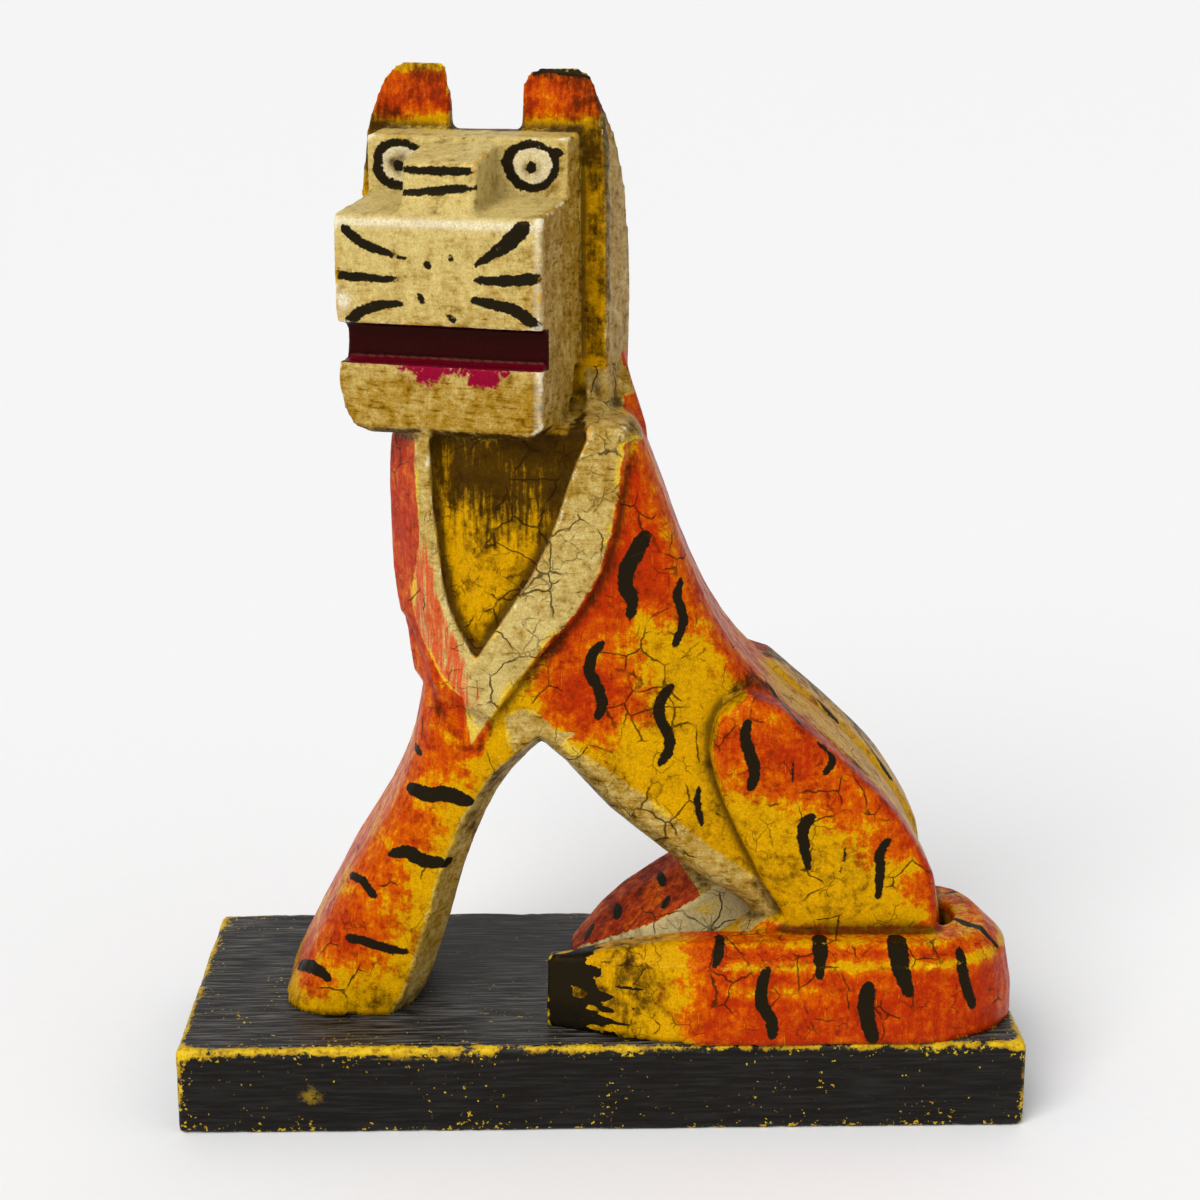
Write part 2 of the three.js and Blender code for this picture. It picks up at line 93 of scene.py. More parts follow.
# Outlines in the side view, as X and height in millimetres
BIB_OUTLINE = [
    (-70.0, 193.0), (-70.0, 141.0), (-47.5, 122.0), (-42.8, 111.3), (-38.8, 102.3), (-32.0, 92.4),
    (-23.6, 105.3), (-14.4, 117.4), (-5.6, 127.2), (0.3, 137.5), (3.4, 148.4), (5.2, 158.9),
    (7.2, 176.9), (7.2, 193.0),
]
THROAT_OUTLINE = [
    (-41.4, 188.0), (-40.8, 156.9), (-39.8, 146.1), (-38.0, 131.9), (-35.4, 124.4), (-30.6, 115.9),
    (-23.4, 126.5), (-17.2, 136.1), (-11.3, 148.3), (-7.2, 161.3), (-3.5, 170.1), (-3.5, 188.0),
]
BELLY_LINE = [(-19.0, 97.5), (2.0, 75.9), (20.8, 60.5), (37.0, 49.3)]
FORELEG_BACK = [
    (22.9, -47.0), (27.9, -44.0), (42.9, -39.0), (58.9, -34.6), (74.9, -28.2), (86.9, -20.0),
    (96.9, -8.0),
]
THIGH_OUTLINE = [
    (36.9, 107.9), (29.0, 102.6), (26.9, 92.9), (29.8, 81.4), (34.4, 71.0), (40.8, 57.9),
    (45.4, 50.9), (47.0, 22.9), (84.4, 22.9), (84.6, 46.9), (83.6, 58.9), (80.8, 65.6),
    (71.8, 78.9), (57.1, 93.3), (44.5, 104.4),
]

# The camera stands where the photograph's did, found from the corners of the plinth and the head
CAMERA_PLACE = Vector((-12.75, -590.73, 274.09))
CAMERA_TURN = math.radians(-1.27)
CAMERA_RISE = math.radians(14.2)
LENS = 72.0
SENSOR = 36.0
PICTURE_WIDTH = 1200

# Brush strokes: the width at both ends in millimetres, then the points it passes
# through, drawn over the picture, in pixels across and down
SIDE_STRIPES = [
    (4.2, 2.8, [(645, 536), (636, 552), (627, 570), (626, 588), (632, 600), (630, 616)]),
    (2.0, 2.2, [(681, 580), (677, 596), (683, 614), (682, 628), (675, 645)]),
    (2.5, 2.7, [(602, 643), (592, 655), (590, 672), (598, 688), (602, 704), (598, 717)]),
    (2.7, 2.5, [(671, 687), (661, 700), (659, 716), (668, 734), (669, 750), (661, 763)]),
    (1.2, 1.7, [(699, 788), (697, 802), (702, 824)]),
    (1.2, 2.7, [(766, 681), (774, 692), (786, 706), (800, 722)]),
]
THIGH_STRIPES = [
    (2.7, 2.9, [(748, 722), (745, 736), (749, 752), (755, 770), (751, 788)]),
    (1.7, 2.0, [(820, 742), (833, 757), (825, 774)]),
    (3.0, 2.2, [(812, 817), (803, 828), (805, 848), (808, 868)]),
    (2.2, 2.2, [(888, 840), (880, 854), (880, 872), (878, 896)]),
    (0.7, 0.7, [(845, 847), (843, 862), (838, 876)]),
    (0.5, 0.7, [(793, 760), (792, 784)]),
]
FORELEG_STRIPES = [
    (2.3, 1.5, [(415, 745), (421, 754)]),
    (3.5, 3.7, [(409, 787), (428, 795), (446, 794), (470, 803)]),
    (2.8, 3.5, [(391, 853), (408, 852), (424, 861), (450, 861)]),
    (1.8, 2.5, [(350, 874), (362, 881), (374, 896)]),
    (2.5, 2.0, [(347, 938), (364, 941), (384, 948), (406, 952)]),
    (3.3, 2.5, [(299, 965), (313, 967), (329, 979)]),
]
RUMP_STRIPES = [
    (1.3, 2.1, [(816, 697), (826, 708), (838, 722)]),
    (1.9, 2.4, [(856, 728), (874, 752), (892, 778)]),
]
FAR_FOOT_SPOTS = [
    (2.4, 3.2, [(616, 905), (618, 916)]),
    (2.4, 2.6, [(667, 898), (664, 906)]),
    (2.1, 2.4, [(659, 873), (664, 884)]),
    (2.2, 2.2, [(592, 925), (586, 938)]),
]
TAIL_STRIPES = [
    (2.5, 2.0, [(719, 936), (720, 948), (715, 966)]),
    (2.7, 3.2, [(767, 970), (762, 985), (762, 1005), (771, 1020), (772, 1036)]),
    (4.2, 2.2, [(819, 936), (820, 950), (820, 962), (820, 978)]),
    (3.9, 3.4, [(869, 986), (866, 1003), (868, 1022), (874, 1043)]),
    (5.2, 3.2, [(896, 936), (898, 952), (902, 972), (909, 994)]),
    (2.5, 3.0, [(960, 949), (962, 966), (966, 984), (973, 1006)]),
    (2.3, 2.0, [(955, 918), (972, 925), (986, 933), (998, 946)]),
    (1.3, 1.6, [(945, 893), (957, 891)]),
]
FACE_MARKS = [
    (3.2, 1.2, [(344, 228), (362, 243), (384, 252), (406, 259)]),
    (2.6, 1.8, [(334, 274), (360, 277), (398, 280)]),
    (3.2, 2.2, [(347, 323), (362, 311), (380, 305), (402, 304)]),
    (5.4, 1.2, [(524, 227), (508, 243), (490, 256), (472, 267)]),
    (3.6, 1.9, [(538, 279), (508, 281), (474, 281)]),
    (3.4, 2.6, [(539, 329), (522, 315), (507, 308), (472, 300)]),
    (2.2, 2.2, [(401, 169), (430, 171), (474, 171)]),
    (2.1, 2.2, [(401, 193), (436, 191), (477, 187)]),
    (2.2, 1.6, [(426, 264), (428, 267)]),
    (1.7, 1.4, [(450, 258), (452, 261)]),
    (1.4, 2.0, [(417, 294), (423, 302)]),
    (0.9, 1.2, [(430, 293), (432, 297)]),
    (1.2, 1.6, [(446, 315), (454, 321)]),
]
# Each eye's t and height, and how far its pupil sits to the right, in millimetres
EYES = [(16.5, 234.1, -0.1), (-17.6, 233.8, -0.5)]
EYE_RING_ACROSS = 6.2
EYE_RING_UP = 5.2
EYE_RING_WIDTH = 2.0

# Patches where the red coat is thick: X, height, radius and strength, on the body's flat sides
RED_BODY = [
    (-6.0, 130.0, 16.0, 1.2), (9.5, 141.0, 15.0, 1.25), (12.0, 163.0, 16.0, 1.25),
    (-2.5, 108.0, 13.0, 1.05), (1.0, 99.0, 7.0, 0.5), (22.0, 128.0, 9.0, 0.55),
    (30.0, 115.0, 9.0, 0.35),
]
RED_THIGH = [
    (37.0, 96.0, 13.0, 0.95), (50.0, 90.0, 12.0, 0.9), (62.0, 82.0, 10.0, 0.9),
    (72.0, 70.0, 8.0, 0.75), (79.0, 58.0, 6.0, 0.8), (82.0, 47.0, 5.0, 0.7),
]
RED_FORELEG = [
    (-43.0, 90.0, 13.0, 0.8), (-50.0, 74.0, 12.0, 0.75), (-58.0, 58.0, 12.0, 0.8),
    (-63.0, 45.0, 12.0, 0.9), (-73.0, 34.0, 9.0, 0.75),
]

# The colour that the tiger's varnish gives to what it reflects
AMBER_VARNISH = (1.0, 0.62, 0.25)

# How much wider the stripes are than they were drawn, and how far out of step the hidden side's
# stripes are, along X and in height
STRIPE_WIDTH = 1.15
HIDDEN_SHIFT = (3.0, -2.0)

# How wide the soft hollows and the knocks along the edges are, in millimetres
HOLLOW_WIDTH = 17.0
KNOCK_WIDTH = 4.5

# In millimetres: a distance that counts as nowhere near, how far from a border its distance is
# kept, and how far up the feet the glue reaches
FAR = 9.0
BORDER_REACH = 4.0
GLUE_REACH = 0.7


def linear(red, green, blue):
    """A colour given in display values from 0 to 255, as Blender keeps colours."""
    shares = [value / 255 for value in (red, green, blue)]
    return tuple(s / 12.92 if s <= 0.04045 else ((s + 0.055) / 1.055) ** 2.4 for s in shares)


def colour_property(name, description, display):
    return FloatVectorProperty(
        name=name, description=description, subtype="COLOR", size=3, min=0, max=1,
        default=linear(*display),
    )


class FigurineCarving(bpy.types.PropertyGroup):
    """How finely the wood is carved and how worn it is."""

    tiger_grain: FloatProperty(
        name="Tiger grain", description="Size of the faces on the carved tiger",
        default=0.95 * MM, min=0.5 * MM, unit="LENGTH",
    )
    plinth_grain: FloatProperty(
        name="Plinth grain", description="Size of the faces on the plinth",
        default=1.2 * MM, min=0.5 * MM, unit="LENGTH",
    )
    unevenness: FloatProperty(
        name="Unevenness", description="Depth of the soft hollows left by the knife",
        default=0.45 * MM, min=0, unit="LENGTH",
    )
    chip_depth: FloatProperty(
        name="Chip depth", description="Depth of the knocks along the edges",
        default=0.6 * MM, min=0, unit="LENGTH",
    )


class FigurinePaint(bpy.types.PropertyGroup):
    """The colours of the coats of paint."""

    yellow: colour_property("Yellow", "Undercoat of the whole tiger", (210, 154, 0))
    ochre: colour_property("Ochre", "Aged patches of the undercoat", (146, 100, 0))
    orange: colour_property("Orange", "Thin parts of the red coat", (206, 90, 0))
    red: colour_property("Red", "Thick parts of the red coat", (180, 44, 4))
    cream: colour_property("Cream", "Face, bib and belly", (208, 185, 114))
    # Tan also gives painted shade on the face block's sides
    tan: colour_property("Tan", "Aged patches of the cream coat", (160, 118, 20))
    # White ground, also used for painted highlights and painted light
    ground_and_highlight: colour_property("White ground", "Rubbed edges of the cream parts", (238, 228, 196))
    blush: colour_property("Blush", "Red rubbed over the bib", (206, 60, 26))
    # Brown of the antique glaze, also used for painted shade
    glaze_and_shade: colour_property("Brown glaze", "Antique glaze left in hollows and cracks", (46, 25, 2))
    black: colour_property("Black", "Stripes, whiskers and eye rings", (24, 20, 12))
    # The mouth's red: paler on its floor as painted light, darker at the back as painted shade
    crimson: colour_property("Crimson", "Floor of the mouth", (92, 4, 22))
    maroon: colour_property("Maroon", "Back of the mouth", (42, 0, 8))
    magenta: colour_property("Magenta", "Smears on the lower lip", (138, 0, 44))
    plinth_black: colour_property("Plinth black", "Top coat of the plinth", (16, 12, 8))
    edge_yellow: colour_property("Edge yellow", "Bare yellow along worn edges", (236, 196, 20))
    # Grey of the dust and of the sheen painted on the plinth's top
    plinth_dust_and_sheen: colour_property("Plinth dust", "Dust in the grain of the plinth", (99, 97, 94))


class FigurineStage(bpy.types.PropertyGroup):
    """Floor and light."""

    floor_size: FloatProperty(
        name="Floor size", description="Half the width of the floor", default=300.0, min=1,
        unit="LENGTH",
    )
    key_power: FloatProperty(
        name="Key light", description="Power of the soft light from the front left", default=2.3,
        min=0,
    )
    fill_power: FloatProperty(
        name="Fill light", description="Power of the lights from the right and behind",
        default=0.22, min=0,
    )
    sky_strength: FloatProperty(
        name="Sky strength", description="Strength of the even light from all round", default=0.42,
        min=0,
    )


# Mesh work

def carved_copy(node, name, grain):
    """A new piece with the form of a CAD node, in small even faces that can be carved further."""
    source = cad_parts[node]
    mesh = source.data.copy()
    weld = bmesh.new()
    weld.from_mesh(mesh)
    bmesh.ops.remove_doubles(weld, verts=weld.verts, dist=1e-6)
    weld.to_mesh(mesh)
    weld.free()
    mesh.transform(source.matrix_world)
    piece = bpy.data.objects.new(name, mesh)
    bpy.context.scene.collection.objects.link(piece)
    remesh = piece.modifiers.new("Even faces", "REMESH")
    remesh.mode = "VOXEL"
    remesh.voxel_size = grain
    ready = piece.evaluated_get(bpy.context.evaluated_depsgraph_get())
    even = bpy.data.meshes.new_from_object(ready)
    # The even faces are drawn back onto the CAD surface, which clears the grid's steps
    surface = BVHTree.FromPolygons(
        [vertex.co for vertex in mesh.vertices], [list(face.vertices) for face in mesh.polygons]
    )
    for vertex in even.vertices:
        vertex.co = surface.find_nearest(vertex.co)[0]
    piece.modifiers.clear()
    piece.data = even
    bpy.data.meshes.remove(mesh)
    even.name = name
    even.materials.clear()
    even.shade_smooth()
    if not even.polygons:
        raise RuntimeError(f"{name} came out empty")
    return piece


class Surface:
    """A mesh's points as arrays in millimetres, with averages over neighbouring points."""

    def __init__(self, mesh):
        self.mesh = mesh
        count = len(mesh.vertices)
        points = np.empty(count * 3)
        mesh.vertices.foreach_get("co", points)
        self.points = points.reshape(-1, 3) / MM
        ends = np.empty(len(mesh.edges) * 2, int)
        mesh.edges.foreach_get("vertices", ends)
        ends = ends.reshape(-1, 2)
        self.start = np.concatenate([ends[:, 0], ends[:, 1]])
        self.end = np.concatenate([ends[:, 1], ends[:, 0]])
        self.degree = np.bincount(self.start, minlength=count)

    def averaged(self, values, rounds):
        """values, each moved half way to the mean of its neighbours in every round."""
        columns = values.reshape(len(values), -1).astype(float)
        for _ in range(rounds):
            mean = np.stack([
                np.bincount(self.start, column[self.end], len(values)) / self.degree
                for column in columns.T
            ], axis=1)
            columns = (columns + mean) / 2
        return columns.reshape(values.shape)

    def without_steps(self, values, rounds):
        """values without their finest steps: averaged, then pushed back out as far."""
        for _ in range(rounds):
            values = self.averaged(values, 1)
            values = values + 1.03 * (values - self.averaged(values, 1))
        return values

    def write(self):
        self.mesh.vertices.foreach_set("co", (self.points * MM).ravel())
        self.mesh.update()

    def normals(self):
        self.write()
        normals = np.empty(len(self.points) * 3)
        self.mesh.vertex_normals.foreach_get("vector", normals)
        return normals.reshape(-1, 3)

    def bulge(self, rounds):
        """How far each point stands out of its surroundings, below zero in hollows."""
        out = self.points - self.averaged(self.points, rounds)
        return np.einsum("ij,ij->i", out, self.normals())

    def keep(self, name, values):
        """Stores one number for each point, for the material to read."""
        layer = self.mesh.attributes.new(name, "FLOAT", "POINT")
        layer.data.foreach_set("value", np.ascontiguousarray(values, np.float32))


def lumps(points, size, octaves, seed):
    """Soft random values round zero, with features about size millimetres wide."""
    shift = Vector((seed * 17.3, seed * 5.1, seed * 11.7))
    return np.array([
        noise.fractal(Vector(p) / size + shift, 1.0, 2.0, octaves) for p in points
    ])


def ramp(values, low, high):
    """0 below low, 1 above high, smooth between."""
    share = np.clip((values - low) / (high - low), 0, 1)
    return share * share * (3 - 2 * share)


def peak(values, middle, width):
    """1 at middle, falling softly to 0 about twice width away."""
    return np.exp(-((values - middle) / width) ** 2)


def between(values, low, high):
    """Which values lie between two limits."""
    return (values > low) & (values < high)


def smooth_path(points, steps):
    """A smooth curve through the points, as many short straight pieces."""
    rows = np.array(points, float)
    path = []
    for i in range(len(rows) - 1):
        before = rows[max(i - 1, 0)]
        after = rows[min(i + 2, len(rows) - 1)]
        slope_in = (rows[i + 1] - before) / 2
        slope_out = (after - rows[i]) / 2
        for f in np.arange(steps) / steps:
            path.append(
                (2 * f**3 - 3 * f**2 + 1) * rows[i] + (f**3 - 2 * f**2 + f) * slope_in
                + (3 * f**2 - 2 * f**3) * rows[i + 1] + (f**3 - f**2) * slope_out
            )
    path.append(rows[-1])
    return np.array(path)


def stroke_distance(points, first_width, last_width, path):
    """Distance in millimetres to the edge of a brush stroke, below zero in the paint."""
    line = smooth_path(path, 4)
    middle = line.mean(axis=0)
    reach = np.linalg.norm(line - middle, axis=1).max() + max(first_width, last_width) + 4
    result = np.full(len(points), FAR)
    near = np.flatnonzero(np.linalg.norm(points - middle, axis=1) < reach)
    places = points[near]
    best = np.full(len(near), FAR)
    for k in range(len(line) - 1):
        way = line[k + 1] - line[k]
        share = np.clip((places - line[k]) @ way / max(way @ way, 1e-9), 0, 1)
        away = np.linalg.norm(places - line[k] - share[:, None] * way, axis=1)
        along = (k + share) / (len(line) - 1)
        half = (first_width + (last_width - first_width) * along) / 2
        half = half * (0.6 + 0.4 * np.sqrt(np.clip(np.sin(np.pi * along), 0, 1)))
        best = np.minimum(best, away - half)
    result[near] = best
    return result


def line_distance(x, z, line):
    """Distance in millimetres to an open line in the side view."""
    nearest = np.full(len(x), np.inf)
    for (x0, z0), (x1, z1) in zip(line, line[1:]):
        run, rise = x1 - x0, z1 - z0
        share = np.clip(((x - x0) * run + (z - z0) * rise) / (run ** 2 + rise ** 2), 0, 1)
        away = np.hypot(x - x0 - share * run, z - z0 - share * rise)
        nearest = np.minimum(nearest, away)
    return nearest


def outline_distance(x, z, outline):
    """Distance in millimetres to a closed outline in the side view, above zero inside."""
    closed = [*outline, outline[0]]
    inside = np.zeros(len(x), bool)
    for (x0, z0), (x1, z1) in zip(closed, closed[1:]):
        if z0 != z1:
            crossed = (z0 > z) != (z1 > z)
            inside ^= crossed & (x < x0 + (z - z0) / (z1 - z0) * (x1 - x0))
    nearest = line_distance(x, z, closed)
    return np.where(inside, nearest, -nearest)


def patches(x, z, spots):
    """Strength of the paint at each point, from round patches that fade at their rims."""
    total = np.zeros(len(x))
    for spot_x, spot_z, radius, strength in spots:
        away = np.hypot(x - spot_x, z - spot_z) / radius
        total = np.maximum(total, strength * np.exp(-away ** 2.4 * 0.7))
    return total


def turned_with_head(x, y):
    """Level directions or distances, as t and n in the head's own frame."""
    t = x * math.cos(HEAD_TURN) - y * math.sin(HEAD_TURN)
    n = -x * math.sin(HEAD_TURN) - y * math.cos(HEAD_TURN)
    return t, n


def head_place(points):
    """Each point's t and n in the head's own frame."""
    return turned_with_head(points[:, 0] - HEAD_AXIS_X, points[:, 1])


# Places on the tiger

def on_head_block(points):
    """Which points lie on the block of the face and the jaw."""
    t, n = head_place(points)
    return (points[:, 2] > JAW_LOW + 1.4) & (n > RUFF_FRONT + 0.5) & (np.abs(t) < 28)


def on_eye_plane(n):
    """Which points lie on the flat ground of the eyes."""
    return np.abs(n - EYE_PLANE) < 1.6


def on_tail(points):
    """Which points lie on the tail."""
    x, y, z = points.T
    return ((y < -27) | (x > 84)) & (z < 48.5)


def on_foot_wall(points, normals):
    """Which points lie on the side of the far foot that faces the camera."""
    x, y, z = points.T
    return between(y, -4, 12) & between(x, -8, 47) & (z < 60) & (normals[:, 1] < -0.5)


def camera_axes():
    """The camera's right, up and backward directions."""
    back = Vector((
        math.sin(CAMERA_TURN) * math.cos(CAMERA_RISE),
        -math.cos(CAMERA_TURN) * math.cos(CAMERA_RISE),
        math.sin(CAMERA_RISE),
    ))
    right = Vector((math.cos(CAMERA_TURN), math.sin(CAMERA_TURN), 0.0))
    return right, back.cross(right), back


def laid_on_tiger(strokes, widening):
    """Strokes drawn over the picture, laid on the tiger where the camera sees them."""
    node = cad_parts[TIGER]
    corners = [node.matrix_world @ vertex.co for vertex in node.data.vertices]
    solid = BVHTree.FromPolygons(corners, [list(face.vertices) for face in node.data.polygons])
    right, up, back = camera_axes()
    pixel = SENSOR / LENS / PICTURE_WIDTH
    laid = []
    for first, last, path in strokes:
        places = []
        for across, down in path:
            sideways = (across - PICTURE_WIDTH / 2) * pixel
            upwards = (PICTURE_WIDTH / 2 - down) * pixel
            way = right * sideways + up * upwards - back
            place = solid.ray_cast(CAMERA_PLACE * MM, way)[0]
            if place is None:
                raise RuntimeError(f"A stroke misses the tiger at {across}, {down}")
            places.append(tuple(place / MM))
        laid.append((first * widening, last * widening, places))
    return laid


# Where each coat of paint lies on the tiger

def black_paint(points):
    """Distance to the nearest black mark, below zero in the paint."""
    x, y, z = points.T
    both_sides = laid_on_tiger(SIDE_STRIPES + THIGH_STRIPES + FORELEG_STRIPES, STRIPE_WIDTH)
    strokes = both_sides + laid_on_tiger(FACE_MARKS, 1.0)
    strokes += laid_on_tiger(RUMP_STRIPES + FAR_FOOT_SPOTS + TAIL_STRIPES, STRIPE_WIDTH)
    # The hidden side has the same stripes, a little out of step
    for first, last, path in both_sides:
        along, up = HIDDEN_SHIFT
        mirrored = [(px + along, -py, pz + up) for px, py, pz in path[::-1]]
        strokes.append((first, last, mirrored))
    nearest = np.full(len(points), FAR)
    for first, last, path in strokes:
        nearest = np.minimum(nearest, stroke_distance(points, first, last, path))
    t, n = head_place(points)
    for k, (eye_t, eye_z, pupil_t) in enumerate(EYES):
        across, up = t - eye_t, z - eye_z
        away = np.hypot(across / EYE_RING_ACROSS, up / EYE_RING_UP)
        angle = np.arctan2(up, across)
        wobble = 0.03 * np.sin(3 * angle + k) + 0.02 * np.sin(5 * angle + 2 * k)
        ring = np.abs(away - 1 - wobble) * EYE_RING_UP
        ring = ring - EYE_RING_WIDTH / 2 + 0.18 * np.cos(angle - 0.3)
        flick = np.hypot(across - 6.8, (up - 3.4 + 0.4 * (across - 6.8)) * 1.6) - 1.5
        pupil = np.hypot(across - pupil_t, up + 0.4) - 1.4
        speck = np.hypot(across + 2.1, up + 4.3) - 0.8
        eye = np.minimum.reduce([ring, flick, pupil, speck])
        nearest = np.minimum(nearest, np.where(on_eye_plane(n), eye, FAR))
    # The tip of the tail is dipped in black and brushed out along the tail
    streaks = np.array([noise.noise(Vector((px / 14, py / 3, pz / 1.1))) for px, py, pz in points])
    tail_end = (y < -17) & (z < 48) & between(x, -22, 30)
    tip = np.where(tail_end, x - 1.0 - 22 * streaks + 9 * ramp(z, 37, 44), FAR)
    nearest = np.minimum(nearest, tip)
    # The tips of the ears
    ear_tip = np.where((z > 240) & (t > 12.5), 255.4 - z - 0.7 * np.maximum(t - 26, 0), FAR)
    ear_tip = ear_tip + 3.0 * streaks
    return np.clip(np.minimum(nearest, ear_tip), -BORDER_REACH, FAR)


def cream_paint(points, normals):
    """How far inside the cream coat each point is in millimetres, and its tan from age and painted
    shade.
    """
    x, y, z = points.T
    t, n = head_place(points)
    face = np.minimum(np.minimum(n - RUFF_FRONT - 0.5, z - JAW_LOW), FACE_TOP - z)
    sideways, forwards = turned_with_head(normals[:, 0], normals[:, 1])
    beside = (np.abs(sideways) > 0.6) & (n < RUFF_FRONT) & ((z > 187) | (y < 4))
    ruff_foot = np.where(y < 4, 177, 185)
    ruff = np.where(beside, np.minimum(z - ruff_foot, 246 - z), -FAR)
    bib = outline_distance(x, z, BIB_OUTLINE)
    throat = outline_distance(x, z, THROAT_OUTLINE)
    right_arm = np.minimum(np.minimum(bib - 0.8, -throat), x + 33 + (z - 100) * 0.12)
    left_arm = np.minimum(np.minimum(bib, -throat), 4.0 + 6.0 * ramp(z, 150, 122) + throat)
    left_arm = np.where(left_arm > 0, 2.5 * left_arm, left_arm)
    arms = np.where(z < 184, np.maximum(right_arm, left_arm), -FAR)
    arms = np.minimum(arms, BIB_REACH - y)
    band = 5.5 + 4.0 * ramp(x, -14, 14)
    near_belly = between(x, -24, 47) & (z > 44) & (np.abs(y) < 27.5)
    belly = np.where(near_belly, band - line_distance(x, z, BELLY_LINE), -FAR)
    heights, backs = zip(*FORELEG_BACK)
    back = np.interp(z, heights, backs)
    behind_leg = (z < FORELEG_TOP) & (x < -4) & (x - back < 1.6)
    leg = np.where(behind_leg, x - back + 6.8, -FAR)
    inner_wall = np.where(on_foot_wall(points, normals), y + 4.0, -FAR)
    cream = np.maximum.reduce([face, ruff, arms, belly, leg, inner_wall])
    aged_and_shaded = np.full(len(points), 0.5)
    front = 0.18 + 0.22 * ramp(z, 222, 200) + 0.34 * ramp(z, 188, 182)
    front = front + 0.2 * ramp(t, 18, 25)
    on_face = face > -1
    aged_and_shaded = np.where(on_face, front, aged_and_shaded)
    # The face block's sides are tanner than its front, partly aged and partly painted shade, most
    # on the right
    block_side = on_face & (forwards < 0.4) & (normals[:, 2] < 0.5) & (np.abs(t) > 22)
    aged_and_shaded = np.where(block_side, 0.6, aged_and_shaded)
    aged_and_shaded = np.where(on_face & (forwards < 0.4) & (t > 24), 0.8, aged_and_shaded)
    aged_and_shaded = np.where(on_face, np.maximum(aged_and_shaded, 0.2 * ramp(normals[:, 2], 0.5, 0.9)), aged_and_shaded)
    on_arms = 0.3 + 0.3 * ramp(z, 130, 165)
    # Tan of each coat; the far foot's wall gets little, as painted light where the thigh shades it
    for coat, age in (
        (ruff, 0.72), (arms, on_arms), (belly, 0.62), (leg, 0.6), (inner_wall, 0.12),
    ):
        aged_and_shaded = np.where(coat > 0, age, aged_and_shaded)
    return cream, aged_and_shaded


def red_paint(points, normals):
    """Thickness of the red coat from 0 to 1."""
    x, y, z = points.T
    t, n = head_place(points)
    body = patches(x, z, RED_BODY)
    on_thigh = outline_distance(x, z, THIGH_OUTLINE)
    thigh = patches(x, z, RED_THIGH)
    thick = np.where((on_thigh > 0) & (np.abs(y) > 24), thigh, body)
    foreleg = patches(x, z, RED_FORELEG)
    thick = np.where((z < 100) & (x < -14), foreleg, thick)
    on_back = (normals[:, 0] > 0.35) & (z > 90) & (x > 5)
    thick = np.where(on_back, 0.75 - 0.5 * ramp(x, 34, 50), thick)
    rim = ramp(on_thigh, 5.0, 1.0) * ramp(x + 0.8 * z, 118, 124)
    thick = np.where((on_thigh > -1) & (np.abs(y) > 20), np.maximum(thick, rim), thick)
    tail = on_tail(points)
    band = 1.0 - 0.6 * peak(z, 36.5, 1.6) * ramp(x, 74, 40)
    band = band - 0.75 * peak(z, 42.2, 1.3) - 0.5 * peak(z, 46.4, 1.0)
    thick = np.where(tail, band, thick)
    thick = np.where(tail & (x < 30), ramp(x, 10, 30), thick)
    far_foot = (y > -3) & between(x, -9, 48) & (z < 62)
    thick = np.where(far_foot, 0.95, thick)
    red_strip = outline_distance(x, z, BIB_OUTLINE) > -2
    throat = outline_distance(x, z, THROAT_OUTLINE)
    thick = np.where(red_strip & (x < -28) & (z > 88), 0.95, thick)
    chest = (normals[:, 0] < -0.5) & (x < -28) & (z > 84)
    thick = np.where(chest, np.maximum(thick, 0.85 * ramp(z, 84, 96)), thick)
    far_chest = (y > BIB_REACH) & (z > 104) & (x < 6)
    thick = np.where(far_chest, np.maximum(thick, 0.8), thick)
    thick = np.where((throat > 0) & (z < NAPE) & (y < BIB_REACH), 0.0, thick)
    head = (z > NAPE) | ((z > 168) & (n < RUFF_FRONT)) | on_head_block(points)
    back_of_head = np.where(n < RUFF_FRONT - 2, 0.85, 0.1)
    thick = np.where(head, back_of_head, thick)
    ears = 0.1 + 0.85 * ramp(z, 242.5, 247) * ramp(z, 257.4, 254.6)
    ears = np.where((n < RUFF_FRONT - 2) & (z < 250), 0.85, ears)
    ears = ears - 0.3 * ramp(t, -26, -29)
    thick = np.where(z > 242, ears, thick)
    return thick


def blush_paint(points):
    """Red rubbed thinly over the cream, where the bib meets the foreleg."""
    x, z = points[:, 0], points[:, 2]
    apex = 0.5 * peak(x, -33.5, 5) * peak(z, 105, 9)
    away = -outline_distance(x, z, THROAT_OUTLINE)
    left = ramp(away, 0.8, 2.8) * ramp(x, -31, -34) * ramp(z, 154, 136) * ramp(z, 84, 92)
    return np.maximum(apex, 0.72 * left)


def lip_paint(points):
    """Magenta smeared over the front of the lower lip."""
    z = points[:, 2]
    t, n = head_place(points)
    line = 0.75 * ramp(t, -14, -8) * ramp(t, 20, 17) * ramp(z, 184.5, 187.5)
    blots = (peak(t, -3, 5.5) + 1.3 * peak(t, 11, 4.5)) * ramp(z, 180.5, 187.0)
    return np.where((n > 18) & (z < 190), np.maximum(line, blots), 0.0)


